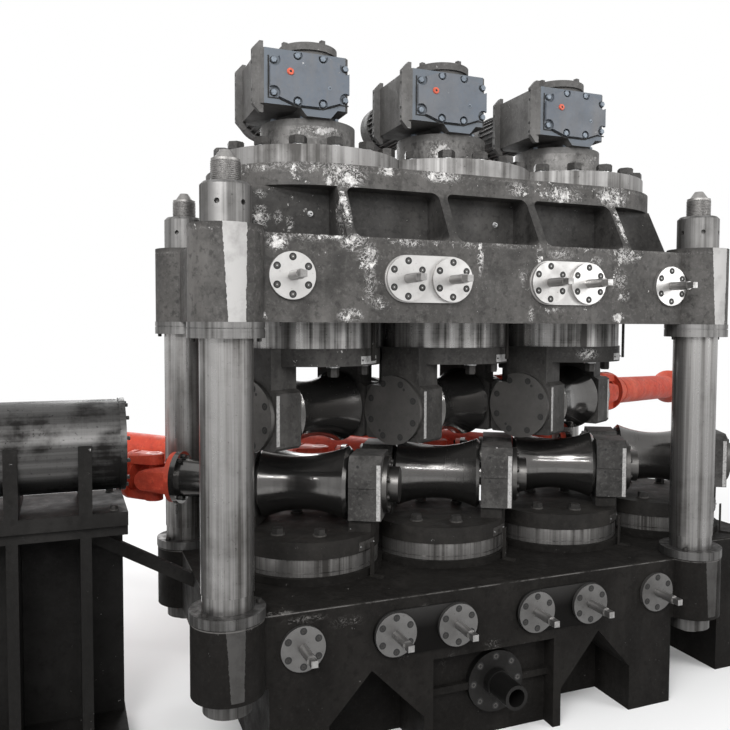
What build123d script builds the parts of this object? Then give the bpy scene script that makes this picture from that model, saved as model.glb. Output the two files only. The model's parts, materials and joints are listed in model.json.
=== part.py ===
"""Seven-roll straightening machine for round tube and bar.

Four tie columns stand between a cast base and a cast crown.  Four concave rolls
turn on the base and three hang from the crown, all set across the pass line.
Millimetres, +Z up.  The origin lies on the floor in the middle of the four
columns, +X runs along the pass line towards the exit and +Y towards the back.
"""
import os
from math import cos, radians, sin, sqrt

from build123d import *

os.makedirs("parts", exist_ok=True)

# Columns and their tie rods, outside the outermost upper rolls
COLUMN_CLEAR = 122.0
COLUMN_Y = 532.5
SLEEVE_R = 100.0
SLEEVE_FOOT_R = 97.0
SLEEVE_FOOT_H = 98.0
SLEEVE_BORE_R = 62.0
ROD_R = 53.0
ROD_BORE_R = 56.0
ROD_TAIL = 85.0
ROD_TIP = 86.0
ROD_CAP_R = 43.0
ROD_CAP_H = 34.0
ROD_CAP_TAPER = 35.0
RING_R = 143.0
LOWER_RING_H = 38.0
UPPER_RING_H = 59.0
RING_GROOVE_Z = 24.0
RING_GROOVE_H = 3.0
RING_GROOVE_R = 139.0
NUT_R = 95.0
TOP_NUT_H = 155.0
BOTTOM_NUT_H = 66.0
NUT_BEVEL = 12.0
SPANNER_HOLES = 6
SPANNER_R = 10.0
SPANNER_DEPTH = 18.0
FIT_GAP = 0.25

# Base casting
BASE_TOP = 692.0
BASE_BAND_H = 287.0
WALL_PROUD = 41.0
BOSS_R = 139.5
BASE_RECESS = 73.5
BASE_POCKET_DEPTH = 250.0
BASE_RIB_X = 317.5
BASE_RIB_W = 40.0
LEDGE_Z = 240.0
LEDGE_H = 30.0
LEDGE_SETBACK = 45.0
LEG_INSET = 149.0
LEG_W = 240.0
ARCH_RUN = 180.0
ARCH_OUTER_Z = 210.0
ARCH_INNER_Z = 170.0
OUTBOARD_SPARE = 44.0
OUTBOARD_HALF_Y = 400.0
OUTBOARD_LEG_L = 300.0
SEAT_R = 345.0
SEAT_H = 33.0

# Crown casting
CROWN_BOTTOM = 1801.0
CROWN_BAND_H = 333.0
CROWN_BOSS_H = 353.0
CORE_HALF_Y = 350.0
CORE_TOP_INSET = 139.0
CORE_FOOT_INSET = 18.0
RIM_BOTTOM = 2345.0
RIM_H = 89.0
RIM_R = 450.0
CROWN_RIB_W = 38.0
CROWN_RIB_OUTER = 663.0
CROWN_RIB_INNER = 215.0
POCKET_CORNER_R = 30.0

# Roll stations
HEAD_SHIFT = 17.0
HEAD_PITCH = 668.0
UPPER_HEADS = range(-1, 2)
LOWER_HEADS = range(-1, 3)
LOWER_AXIS_Z = 1069.0
UPPER_AXIS_Z = 1405.0
ROLL_SKEW = 30.0

# Concave rolls
THROAT_R = 128.0
BARREL_R = 168.0
BARREL_HALF = 190.0
LIP_HALF = 205.0
LIP_R = 152.0
NECK_R = 55.0
NECK_RUN = 0.05
NECK_END = 352.0
HUB_R = 89.0
HUB_START = 397.0
COMPANION_R = 122.0
COMPANION_T = 25.0

# Bearing blocks
BLOCK_GAP = 8.0
BLOCK_L = 147.0
BLOCK_HALF_W = 130.0
BLOCK_HALF_H = 142.0
BLOCK_CHAMFER = 32.0
BLOCK_SPLIT_W = 3.0
BLOCK_SPLIT_DEPTH = 4.0
COVER_T = 22.0
LOWER_COVER_R = 128.0
LOWER_CAP_R = 80.0
LOWER_CAP_L = 68.0
UPPER_COVER_R = 157.0
COVER_CLEAR = 6.0

# Turntables under the lower rolls
TABLE_RING_INSET = 20.0
TABLE_RING_H = 75.0
TABLE_GROOVE_Z = 15.0
TABLE_GROOVE_H = 4.0
TABLE_GROOVE_DEPTH = 5.0
TABLE_PLATE_INSET = 14.0
TABLE_PLATE_H = 74.0
PEDESTAL_HALF_W = 110.0
PEDESTAL_STEP_L = 127.0

# Lifting heads over the upper rolls
HEAD_RUN = 0.05
HEAD_PLATE_TOP = 1690.0
HEAD_PLATE_H = 75.0
HEAD_PLATE_R = 331.0
HEAD_SLEEVE_R = 325.0
HEAD_SLEEVE_L = 360.0
BORE_HEADROOM = 90.0
SCREW_R = 65.0
SCREW_CLEAR = 8.0
SCREW_HEADROOM = 15.0
ARM_NECK_HALF_W = 134.0
ARM_HOUSING_HALF_W = 162.0
ARM_HOUSING_RISE = 100.0
ARM_SHOULDER = 15.0
ARM_DROP = 138.0
ARM_CORNER = 12.0
HEAD_LIFT = 60.0
HEAD_DROP = 30.0
HEAD_CLEAR = 10.0

# Cardan shafts
JOINT_CENTRE = 600.0
FIRST_JOINT_CENTRE = 745.0
YOKE_L = 120.0
YOKE_FLANGE_T = 25.0
YOKE_R = 117.0
YOKE_HUB_R = 80.0
YOKE_HUB_T = 16.0
YOKE_BASE_T = 20.0
EAR_INNER = 62.0
EAR_OUTER = 110.0
EAR_R = 47.0
ARM_FOOT_HALF = 62.0
CAP_DEPTH = 6.0
CROSS_CORE_R = 40.0
CROSS_PIN_R = 25.0
JOINT_BALL_R = 75.0
JOINT_BALL_GAP = 0.3
CROSS_CORE_HALF = 30.0
SHAFT_EAR_R = 45.5
SHAFT_YOKE_R = 115.0
SHAFT_TUBE_R = 80.0
SHAFT_CONE_L = 70.0
SHAFT_SEAM = 260.0
SHAFT_SEAM_W = 8.0
SHAFT_SEAM_DEPTH = 4.0
SHAFT_L = 1400.0
DETOUR_BEARING = 41.0
SHAFT_RISE = 2.2

# Crown covers and gear units
DISC_R = 425.0
DISC_H = 76.0
DISC_JOINT = 2.0
PEDESTAL_R = 212.0
PEDESTAL_H = 125.0
GEAR_FLANGE_H = 30.0
GEAR_NECK_R = 140.0
GEAR_NECK_H = 35.0
GEAR_LEFT = 272.0
GEAR_RIGHT = 112.0
GEAR_FRONT = 235.0
GEAR_BACK = 150.0
GEAR_H = 225.0
GEAR_CORNER = 16.0
GUSSET_LEFT = 104.0
GUSSET_RIGHT = 62.0
GUSSET_LEAN = 30.0
EAR_STRIP_PROUD = 30.0
EAR_STRIP_T = 24.0
EAR_STRIP_H = 290.0
EAR_STRIP_DROP = 35.0
EAR_STRIP_BEVEL = 34.0
GEAR_CAP_NECK_R = 118.0
GEAR_CAP_NECK_H = 55.0
GEAR_CAP_R = 130.0
GEAR_CAP_H = 32.0
GEAR_CAP_RECESS_R = 108.0
GEAR_CAP_RECESS = 8.0
GEAR_LUG = 20.0
GEAR_LUG_RISE = 14.0
GEAR_COVER_T = 14.0
GEAR_COVER_X = -62.0
GEAR_COVER_Z = 111.0
GEAR_COVER_HALF_X = 172.0
GEAR_COVER_SHOULDER_X = 130.0
GEAR_COVER_CREST_X = 58.0
GEAR_COVER_HALF_Z = 83.0
GEAR_COVER_CREST_Z = 108.0
END_NOTCH_X = 156.0
END_NOTCH_Z = 66.0
END_NOTCH_R = 27.0
CREST_NOTCH_X = 55.0
CREST_NOTCH_Z = 94.0
CREST_NOTCH_R = 20.0
MOTOR_X = -85.0
MOTOR_R = 108.0
MOTOR_L = 400.0
MOTOR_Z = 140.0
MOTOR_FINS = 28
MOTOR_FIN_T = 5.0
MOTOR_FIN_PROUD = 12.0
MOTOR_COWL_L = 95.0
MOTOR_COWL_R = 123.0
MOTOR_FLANGE_R = 132.0
MOTOR_FLANGE_T = 24.0
MOTOR_BOX = 110.0
MOTOR_BOX_PROUD = 45.0

# Setting shafts for the roll angles
UPPER_SETTER_Z = 1976.0
UPPER_SETTER_X = 234.5
LOWER_SETTER_Z = 545.0
LOWER_SETTER_X = 193.0
SETTER_R = 90.0
SETTER_T = 16.0
SETTER_PLATE_T = 8.0
SPOT_CLEAR = 2.0
SETTER_PLATE_R = 94.0
SETTER_SHAFT_R = 19.0
SETTER_SHAFT_L = 107.0
SETTER_SQUARE = 26.0
SETTER_SQUARE_L = 38.0

# Lift drive input low on the front
LIFT_X = 45.0
LIFT_Z = 240.0
LIFT_R = 135.0
LIFT_T = 30.0
LIFT_SHAFT_R = 53.0
LIFT_BORE_R = 38.0
LIFT_BORE_L = 150.0
LIFT_SHAFT_L = 170.0
LIFT_COLLAR_R = 60.0
LIFT_COLLAR_L = 35.0

# Angle pointers
POINTER_W = 22.0
POINTER_T = 8.0
POINTER_GAP = 10.0
UPPER_POINTER_GAP = 24.0
POINTER_FOOT = 60.0
POINTER_BEARING = -55.0
LOWER_POINTER_H = 150.0
UPPER_POINTER_H = 165.0

# Entry guide and its stand
GUIDE_Z = 1290.0
GUIDE_R = 187.0
GUIDE_BORE_R = 150.0
GUIDE_RING_R = 192.0
GUIDE_RING_W = 24.0
GUIDE_SPACING = 329.0
GUIDE_L = 580.0
CRADLE_RIB_X = 132.0
CRADLE_RIB_T = 50.0
CRADLE_HALF_W = 200.0
CRADLE_TOP = 1315.0
CRADLE_PLATE_TOP = 1045.0
CRADLE_PLATE_H = 55.0
CRADLE_FRONT = 200.0
CRADLE_BACK = 260.0
STAND_BEAM_H = 42.0
STAND_WEB_FRONT = 80.0
STAND_WEB_T = 80.0
STAND_WEB_INSET = 5.0
STAND_RIB_T = 42.0
STAND_RIB_FRONT = 180.0
STAND_RIB_BACK = 240.0
STAND_FOOT_H = 110.0
BRACE_W = 60.0
BRACE_T = 40.0
BRACE_STAND_Z = 900.0
BRACE_BASE_Z = 655.0

# Heights and places that follow from the sizes above
COLUMN_X = UPPER_HEADS[-1] * HEAD_PITCH * 3 / 2 + COLUMN_CLEAR
OUTBOARD_END = HEAD_SHIFT + LOWER_HEADS[-1] * HEAD_PITCH + SEAT_R + OUTBOARD_SPARE
LEG_OUTER_X = COLUMN_X - LEG_INSET
LEG_INNER_X = LEG_OUTER_X - LEG_W
ARCH_APEX_X = LEG_INNER_X - ARCH_RUN
CORE_TOP_X = COLUMN_X - CORE_TOP_INSET
CORE_FOOT_X = COLUMN_X - CORE_FOOT_INSET
CROWN_RIB_X = (-CROWN_RIB_OUTER, -CROWN_RIB_INNER, CROWN_RIB_INNER, CROWN_RIB_OUTER)
BAND_BOTTOM = BASE_TOP - BASE_BAND_H
ROD_BOTTOM = BAND_BOTTOM - ROD_TAIL
BAND_Y = COLUMN_Y + WALL_PROUD
BAND_X = COLUMN_X + WALL_PROUD
CROWN_BAND_TOP = CROWN_BOTTOM + CROWN_BAND_H
CROWN_BOSS_TOP = CROWN_BOTTOM + CROWN_BOSS_H
ROD_TOP = CROWN_BOSS_TOP + TOP_NUT_H + ROD_TIP
RIM_TOP = RIM_BOTTOM + RIM_H
DISC_TOP = RIM_TOP + DISC_H
PEDESTAL_TOP = DISC_TOP + PEDESTAL_H
GEAR_BOTTOM = PEDESTAL_TOP + GEAR_FLANGE_H + GEAR_NECK_H
GEAR_TOP = GEAR_BOTTOM + GEAR_H
GEAR_STRIP_BOTTOM = GEAR_BOTTOM - EAR_STRIP_DROP
SCREW_TOP = PEDESTAL_TOP - HEAD_LIFT - SCREW_HEADROOM
TABLE_RING_R = SEAT_R - TABLE_RING_INSET
TABLE_PLATE_R = SEAT_R - TABLE_PLATE_INSET
TABLE_PLATE_BOTTOM = BASE_TOP + SEAT_H + TABLE_RING_H
TABLE_PLATE_TOP = TABLE_PLATE_BOTTOM + TABLE_PLATE_H
LOWER_BLOCK_BOTTOM = LOWER_AXIS_Z - BLOCK_HALF_H
BLOCK_START = LIP_HALF + BLOCK_GAP
BLOCK_END = BLOCK_START + BLOCK_L
ARM_RISE = HEAD_PLATE_TOP - UPPER_AXIS_Z
HEAD_SLEEVE_TOP = HEAD_PLATE_TOP + HEAD_SLEEVE_L
HEAD_BORE_TOP = HEAD_SLEEVE_TOP + BORE_HEADROOM
HEAD_RELIEF_Z = HEAD_PLATE_TOP - HEAD_PLATE_H - HEAD_LIFT - HEAD_DROP - HEAD_CLEAR
ARM_FOOT = YOKE_L - YOKE_FLANGE_T
DOME_R = JOINT_BALL_R - JOINT_BALL_GAP
DOME_START = sqrt(DOME_R**2 - CROSS_PIN_R**2)
DOME_MID = CROSS_PIN_R / 2
DOME_MID_Y = sqrt(DOME_R**2 - DOME_MID**2)
GUIDE_RIGHT = -COLUMN_X - GUIDE_SPACING
GUIDE_LEFT = GUIDE_RIGHT - GUIDE_L
GUIDE_MIDDLE = (GUIDE_LEFT + GUIDE_RIGHT) / 2
CRADLE_MIDDLE_Y = (CRADLE_BACK - CRADLE_FRONT) / 2
STAND_MIDDLE_Y = (STAND_RIB_BACK - STAND_RIB_FRONT) / 2
STAND_TOP = CRADLE_PLATE_TOP - CRADLE_PLATE_H
COLUMNS = [(x, y) for x in (-COLUMN_X, COLUMN_X) for y in (-COLUMN_Y, COLUMN_Y)]
UP = Vector(0, 0, 1)


def head_x(place):
    """Where a roll station stands along the pass line."""
    return HEAD_SHIFT + place * HEAD_PITCH


def bearing_vector(angle, rise=0.0):
    """Unit vector at a plan angle from +X, rising by the second angle."""
    flat = cos(radians(rise))
    return Vector(flat * cos(radians(angle)), flat * sin(radians(angle)), sin(radians(rise)))


def across(origin, along):
    """Plane square to a shaft: x level, y up, z along the shaft."""
    return Plane(origin=origin, x_dir=UP.cross(along), z_dir=along)


def upright(origin, along):
    """Plane under a shaft: x along it, z as near to straight up as it can be."""
    return Plane(origin=origin, x_dir=along, z_dir=along.cross(UP.cross(along)))


def save(part, name):
    """Label a part and write it out."""
    part.label = name
    export_step(part, f"parts/{name}.step")


LOWER_DRIVE = bearing_vector(180 - ROLL_SKEW)
UPPER_DRIVE = bearing_vector(ROLL_SKEW)
LOWER_LEAD = bearing_vector(180 - DETOUR_BEARING, SHAFT_RISE)
UPPER_LEADS = {
    place: bearing_vector(ROLL_SKEW if place == UPPER_HEADS[-1] else DETOUR_BEARING, -SHAFT_RISE)
    for place in UPPER_HEADS
}

# Base casting
with BuildPart() as base:
    with BuildSketch(Plane.XY.offset(BAND_BOTTOM)):
        Rectangle(2 * BAND_X, 2 * BAND_Y)
        with Locations(*COLUMNS):
            Circle(BOSS_R)
        with Locations(((BAND_X + OUTBOARD_END) / 2 - BOSS_R / 2, 0)):
            Rectangle(OUTBOARD_END - BAND_X + BOSS_R, 2 * OUTBOARD_HALF_Y)
    extrude(amount=BASE_BAND_H)
    # legs under the band
    with BuildSketch():
        Rectangle(2 * LEG_OUTER_X, 2 * BAND_Y)
        with Locations((OUTBOARD_END - OUTBOARD_LEG_L / 2, 0)):
            Rectangle(OUTBOARD_LEG_L, 2 * OUTBOARD_HALF_Y)
    extrude(amount=BAND_BOTTOM)
    for face in (-1, 1):
        # arched pockets beside the middle bay
        for side in (-1, 1):
            rib_edge = HEAD_SHIFT + side * (BASE_RIB_X + BASE_RIB_W / 2)
            with BuildSketch(Plane.XZ.offset(-face * BAND_Y)):
                with BuildLine():
                    Polyline(
                        (side * LEG_INNER_X, 0),
                        (side * LEG_INNER_X, ARCH_OUTER_Z),
                        (side * ARCH_APEX_X, BAND_BOTTOM),
                        (rib_edge, ARCH_INNER_Z),
                        (rib_edge, 0),
                        close=True,
                    )
                make_face()
            extrude(amount=face * BASE_POCKET_DEPTH, mode=Mode.SUBTRACT)
        # middle bay, set back behind its two ribs
        with BuildSketch(Plane.XZ.offset(-face * BAND_Y)):
            with Locations((HEAD_SHIFT, BAND_BOTTOM / 2)):
                Rectangle(2 * BASE_RIB_X - BASE_RIB_W, BAND_BOTTOM)
            with Locations((HEAD_SHIFT, LEDGE_Z)):
                Rectangle(2 * BASE_RIB_X - BASE_RIB_W, LEDGE_H, mode=Mode.SUBTRACT)
        extrude(amount=face * BASE_RECESS, mode=Mode.SUBTRACT)
        with BuildSketch(Plane.XZ.offset(-face * BAND_Y)):
            with Locations((HEAD_SHIFT, LEDGE_Z)):
                Rectangle(2 * BASE_RIB_X - BASE_RIB_W, LEDGE_H)
        extrude(amount=face * LEDGE_SETBACK, mode=Mode.SUBTRACT)
    # seat of the lift drive input, through the ledge
    with BuildSketch(Plane.XZ.offset(BAND_Y)):
        with Locations((LIFT_X, LIFT_Z)):
            Circle(LIFT_R + SPOT_CLEAR)
    extrude(amount=-BASE_RECESS, mode=Mode.SUBTRACT)
    # round seats of the four lower stands
    with BuildSketch(Plane.XY.offset(BASE_TOP)):
        with Locations(*[(head_x(place), 0) for place in LOWER_HEADS]):
            Circle(SEAT_R)
    extrude(amount=SEAT_H)
    # bores of the tie rods
    with BuildSketch(Plane.XY.offset(BAND_BOTTOM)):
        with Locations(*COLUMNS):
            Circle(ROD_BORE_R)
    extrude(amount=BASE_BAND_H, mode=Mode.SUBTRACT)
save(base.part, "base_casting")

# Crown casting
with BuildPart() as crown:
    with BuildSketch(Plane.XY.offset(CROWN_BOTTOM)):
        Rectangle(2 * BAND_X, 2 * BAND_Y)
    extrude(amount=CROWN_BAND_H)
    with BuildSketch(Plane.XY.offset(CROWN_BOTTOM)):
        with Locations(*COLUMNS):
            Circle(BOSS_R)
    extrude(amount=CROWN_BOSS_H)
    # core under the rim, with sloping ends
    with BuildSketch(Plane.XZ):
        with BuildLine():
            Polyline(
                (-CORE_FOOT_X, CROWN_BAND_TOP),
                (-CORE_TOP_X, RIM_BOTTOM),
                (CORE_TOP_X, RIM_BOTTOM),
                (CORE_FOOT_X, CROWN_BAND_TOP),
                close=True,
            )
        make_face()
    extrude(amount=CORE_HALF_Y, both=True)
    # ribs leaning from the rim out to the band, with round-cornered pockets between them
    with BuildSketch(Plane.YZ.offset(HEAD_SHIFT)):
        with BuildLine():
            Polyline(
                (-BAND_Y, CROWN_BAND_TOP),
                (-RIM_R, RIM_BOTTOM),
                (RIM_R, RIM_BOTTOM),
                (BAND_Y, CROWN_BAND_TOP),
                close=True,
            )
        make_face()
    extrude(amount=CROWN_RIB_OUTER + CROWN_RIB_W / 2, both=True)
    for face in (-1, 1):
        for left, right in zip(CROWN_RIB_X, CROWN_RIB_X[1:]):
            with BuildSketch(Plane.XZ.offset(-face * BAND_Y)):
                with Locations((HEAD_SHIFT + (left + right) / 2, (CROWN_BAND_TOP + RIM_BOTTOM) / 2)):
                    RectangleRounded(right - left - CROWN_RIB_W, RIM_BOTTOM - CROWN_BAND_TOP, POCKET_CORNER_R)
            extrude(amount=face * (BAND_Y - CORE_HALF_Y), mode=Mode.SUBTRACT)
    # rim that carries the cover discs
    with BuildSketch(Plane.XY.offset(RIM_BOTTOM)):
        with Locations((HEAD_SHIFT, 0)):
            SlotCenterToCenter(2 * HEAD_PITCH, 2 * RIM_R)
    extrude(amount=RIM_H)
    # spot faces where a setting flange comes close to a boss
    for face in (-1, 1):
        with BuildSketch(Plane.XZ.offset(-face * BAND_Y)):
            with Locations(*[
                (head_x(place) + place * UPPER_SETTER_X, UPPER_SETTER_Z)
                for place in (UPPER_HEADS[0], UPPER_HEADS[-1])
            ]):
                Circle(SETTER_R + SPOT_CLEAR)
        extrude(amount=-face * BOSS_R, mode=Mode.SUBTRACT)
    # guide bores of the heads, screw holes above them and tie rod bores
    with BuildSketch(Plane.XY.offset(CROWN_BOTTOM)):
        with Locations(*[(head_x(place), 0) for place in UPPER_HEADS]):
            Circle(HEAD_SLEEVE_R + HEAD_RUN)
    extrude(amount=HEAD_BORE_TOP - CROWN_BOTTOM, mode=Mode.SUBTRACT)
    with BuildSketch(Plane.XY.offset(HEAD_BORE_TOP)):
        with Locations(*[(head_x(place), 0) for place in UPPER_HEADS]):
            Circle(SCREW_R + SCREW_CLEAR)
    extrude(amount=RIM_TOP - HEAD_BORE_TOP, mode=Mode.SUBTRACT)
    with BuildSketch(Plane.XY.offset(CROWN_BOTTOM)):
        with Locations(*COLUMNS):
            Circle(ROD_BORE_R)
    extrude(amount=CROWN_BOSS_H, mode=Mode.SUBTRACT)
save(crown.part, "crown_casting")

# Column sleeves, thinner over their feet
with BuildPart() as sleeves:
    with BuildSketch(Plane.XY.offset(BASE_TOP)):
        with Locations(*COLUMNS):
            Circle(SLEEVE_FOOT_R)
            Circle(SLEEVE_BORE_R, mode=Mode.SUBTRACT)
    extrude(amount=SLEEVE_FOOT_H)
    with BuildSketch(Plane.XY.offset(BASE_TOP + SLEEVE_FOOT_H)):
        with Locations(*COLUMNS):
            Circle(SLEEVE_R)
            Circle(SLEEVE_BORE_R, mode=Mode.SUBTRACT)
    extrude(amount=CROWN_BOTTOM - BASE_TOP - SLEEVE_FOOT_H)
save(sleeves.part, "column_sleeves")

# Locating rings at both ends of the sleeves
with BuildPart() as rings:
    with BuildSketch(Plane.XY.offset(BASE_TOP)):
        with Locations(*COLUMNS):
            Circle(RING_R)
            Circle(SLEEVE_FOOT_R + FIT_GAP, mode=Mode.SUBTRACT)
    extrude(amount=LOWER_RING_H)
    with BuildSketch(Plane.XY.offset(CROWN_BOTTOM)):
        with Locations(*COLUMNS):
            Circle(RING_R)
            Circle(SLEEVE_R + FIT_GAP, mode=Mode.SUBTRACT)
    extrude(amount=-UPPER_RING_H)
    with BuildSketch(Plane.XY.offset(CROWN_BOTTOM - RING_GROOVE_Z)):
        with Locations(*COLUMNS):
            Circle(RING_R)
            Circle(RING_GROOVE_R, mode=Mode.SUBTRACT)
    extrude(amount=RING_GROOVE_H, mode=Mode.SUBTRACT)
save(rings.part, "column_rings")

# Tie rods with their domed ends
with BuildPart() as rods:
    with BuildSketch(Plane.XY.offset(ROD_BOTTOM)):
        with Locations(*COLUMNS):
            Circle(ROD_R)
    extrude(amount=ROD_TOP - ROD_BOTTOM)
    with BuildSketch(Plane.XY.offset(ROD_TOP)):
        with Locations(*COLUMNS):
            Circle(ROD_CAP_R)
    extrude(amount=ROD_CAP_H, taper=ROD_CAP_TAPER)
save(rods.part, "tie_rods")

# Tie rod nuts, the upper ones with spanner holes
with BuildPart() as nuts:
    with BuildSketch(Plane.XY.offset(CROWN_BOSS_TOP)):
        with Locations(*COLUMNS):
            Circle(NUT_R)
    extrude(amount=TOP_NUT_H - NUT_BEVEL)
    with BuildSketch(Plane.XY.offset(CROWN_BOSS_TOP + TOP_NUT_H - NUT_BEVEL)):
        with Locations(*COLUMNS):
            Circle(NUT_R)
    extrude(amount=NUT_BEVEL, taper=45)
    with BuildSketch(Plane.XY.offset(BAND_BOTTOM)):
        with Locations(*COLUMNS):
            Circle(NUT_R)
    extrude(amount=-BOTTOM_NUT_H)
    with BuildSketch(Plane.XY.offset(ROD_BOTTOM)):
        with Locations(*COLUMNS):
            Circle(ROD_R + FIT_GAP)
    extrude(amount=ROD_TOP - ROD_BOTTOM, mode=Mode.SUBTRACT)
    for x, y in COLUMNS:
        for turn in range(SPANNER_HOLES):
            outward = bearing_vector(turn * 360 / SPANNER_HOLES)
            middle = Vector(x, y, CROWN_BOSS_TOP + TOP_NUT_H / 2)
            with BuildSketch(across(middle + outward * (NUT_R - SPANNER_DEPTH), outward)):
                Circle(SPANNER_R)
            extrude(amount=2 * SPANNER_DEPTH, mode=Mode.SUBTRACT)
save(nuts.part, "tie_nuts")

# Cover discs on the crown, flat where they meet
with BuildPart() as covers:
    with BuildSketch(Plane.XY.offset(RIM_TOP)):
        with Locations(*[(head_x(place), 0) for place in UPPER_HEADS]):
            Circle(DISC_R)
        with Locations(*[(head_x(place), 0) for place in UPPER_HEADS]):
            Circle(SCREW_R + SCREW_CLEAR, mode=Mode.SUBTRACT)
        with Locations(*[(HEAD_SHIFT + side * HEAD_PITCH / 2, 0) for side in (-1, 1)]):
            Rectangle(DISC_JOINT, 2 * DISC_R, mode=Mode.SUBTRACT)
    extrude(amount=DISC_H)
save(covers.part, "crown_covers")

# Pedestals between the discs and the gear units
with BuildPart() as pedestals:
    with BuildSketch(Plane.XY.offset(DISC_TOP)):
        with Locations(*[(head_x(place), 0) for place in UPPER_HEADS]):
            Circle(PEDESTAL_R)
            Circle(SCREW_R + SCREW_CLEAR, mode=Mode.SUBTRACT)
    extrude(amount=PEDESTAL_H)
save(pedestals.part, "gear_pedestals")

# Gear units that drive the lead screws
with BuildPart() as gears:
    centres = [(head_x(place), 0) for place in UPPER_HEADS]
    with BuildSketch(Plane.XY.offset(PEDESTAL_TOP)):
        with Locations(*centres):
            Circle(PEDESTAL_R)
    extrude(amount=GEAR_FLANGE_H)
    with BuildSketch(Plane.XY.offset(PEDESTAL_TOP)):
        with Locations(*centres):
            Circle(GEAR_NECK_R)
    extrude(amount=GEAR_BOTTOM - PEDESTAL_TOP)
    with BuildSketch(Plane.XY.offset(GEAR_BOTTOM)) as gear_plan:
        with Locations(*[
            (x + (GEAR_RIGHT - GEAR_LEFT) / 2, (GEAR_BACK - GEAR_FRONT) / 2) for x, y in centres
        ]):
            Rectangle(GEAR_LEFT + GEAR_RIGHT, GEAR_FRONT + GEAR_BACK)
        chamfer(gear_plan.vertices(), GEAR_CORNER)
    extrude(amount=GEAR_H)
    # tapering foot under the front of each housing
    with BuildSketch(Plane.XZ.offset(GEAR_FRONT)):
        for x, y in centres:
            with BuildLine():
                Polyline(
                    (x - GUSSET_LEFT, GEAR_BOTTOM),
                    (x - GUSSET_LEFT + GUSSET_LEAN, GEAR_BOTTOM - GEAR_NECK_H),
                    (x + GUSSET_RIGHT - GUSSET_LEAN, GEAR_BOTTOM - GEAR_NECK_H),
                    (x + GUSSET_RIGHT, GEAR_BOTTOM),
                    close=True,
                )
            make_face()
    extrude(amount=-GEAR_FRONT)
    # two bevelled mounting strips on the left side of each housing
    for strip_y in (-GEAR_FRONT + GEAR_CORNER, GEAR_BACK - GEAR_CORNER - EAR_STRIP_T):
        with BuildSketch(Plane.XZ.offset(-strip_y)):
            for x, y in centres:
                side_x = x - GEAR_LEFT
                with BuildLine():
                    Polyline(
                        (side_x + GEAR_CORNER, GEAR_STRIP_BOTTOM),
                        (side_x, GEAR_STRIP_BOTTOM),
                        (side_x - EAR_STRIP_PROUD, GEAR_STRIP_BOTTOM + EAR_STRIP_BEVEL),
                        (side_x - EAR_STRIP_PROUD, GEAR_STRIP_BOTTOM + EAR_STRIP_H - EAR_STRIP_BEVEL),
                        (side_x, GEAR_STRIP_BOTTOM + EAR_STRIP_H),
                        (side_x + GEAR_CORNER, GEAR_STRIP_BOTTOM + EAR_STRIP_H),
                        close=True,
                    )
                make_face()
        extrude(amount=-EAR_STRIP_T)
    # round cap with a dished top and four lugs
    with BuildSketch(Plane.XY.offset(GEAR_TOP)):
        with Locations(*centres):
            Circle(GEAR_CAP_NECK_R)
    extrude(amount=GEAR_CAP_NECK_H)
    with BuildSketch(Plane.XY.offset(GEAR_TOP + GEAR_CAP_NECK_H)):
        with Locations(*centres):
            Circle(GEAR_CAP_R)
    extrude(amount=GEAR_CAP_H)
    with BuildSketch(Plane.XY.offset(GEAR_TOP + GEAR_CAP_NECK_H + GEAR_CAP_H)):
        with Locations(*centres):
            Circle(GEAR_CAP_RECESS_R)
    extrude(amount=-GEAR_CAP_RECESS, mode=Mode.SUBTRACT)
    with BuildSketch(Plane.XY.offset(GEAR_TOP + GEAR_CAP_NECK_H + GEAR_CAP_H)):
        for x, y in centres:
            with Locations((x, y)):
                with PolarLocations((GEAR_CAP_R + GEAR_CAP_RECESS_R) / 2, 4, start_angle=ROLL_SKEW / 2):
                    Rectangle(GEAR_LUG, GEAR_LUG)
    extrude(amount=GEAR_LUG_RISE)
save(gears.part, "gear_units")

# Front covers of the gear units, notched for their eight bolts
with BuildPart() as gear_covers:
    with BuildSketch(Plane.XZ.offset(GEAR_FRONT)):
        for place in UPPER_HEADS:
            x = head_x(place) + GEAR_COVER_X
            z = GEAR_BOTTOM + GEAR_COVER_Z
            with BuildLine():
                Polyline(*[
                    (x + side * reach, z + side * turn * rise)
                    for side in (1, -1)
                    for reach, rise, turn in (
                        (GEAR_COVER_HALF_X, GEAR_COVER_HALF_Z, -1),
                        (GEAR_COVER_HALF_X, GEAR_COVER_HALF_Z, 1),
                        (GEAR_COVER_SHOULDER_X, GEAR_COVER_HALF_Z, 1),
                        (GEAR_COVER_CREST_X, GEAR_COVER_CREST_Z, 1),
                        (-GEAR_COVER_CREST_X, GEAR_COVER_CREST_Z, 1),
                        (-GEAR_COVER_SHOULDER_X, GEAR_COVER_HALF_Z, 1),
                    )
                ], close=True)
            make_face()
            for notch_x, notch_z, notch_r in (
                (END_NOTCH_X, END_NOTCH_Z, END_NOTCH_R),
                (CREST_NOTCH_X, CREST_NOTCH_Z, CREST_NOTCH_R),
            ):
                with Locations((x, z)):
                    with GridLocations(2 * notch_x, 2 * notch_z, 2, 2):
                        Circle(notch_r, mode=Mode.SUBTRACT)
    extrude(amount=GEAR_COVER_T)
save(gear_covers.part, "gear_covers")

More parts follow.
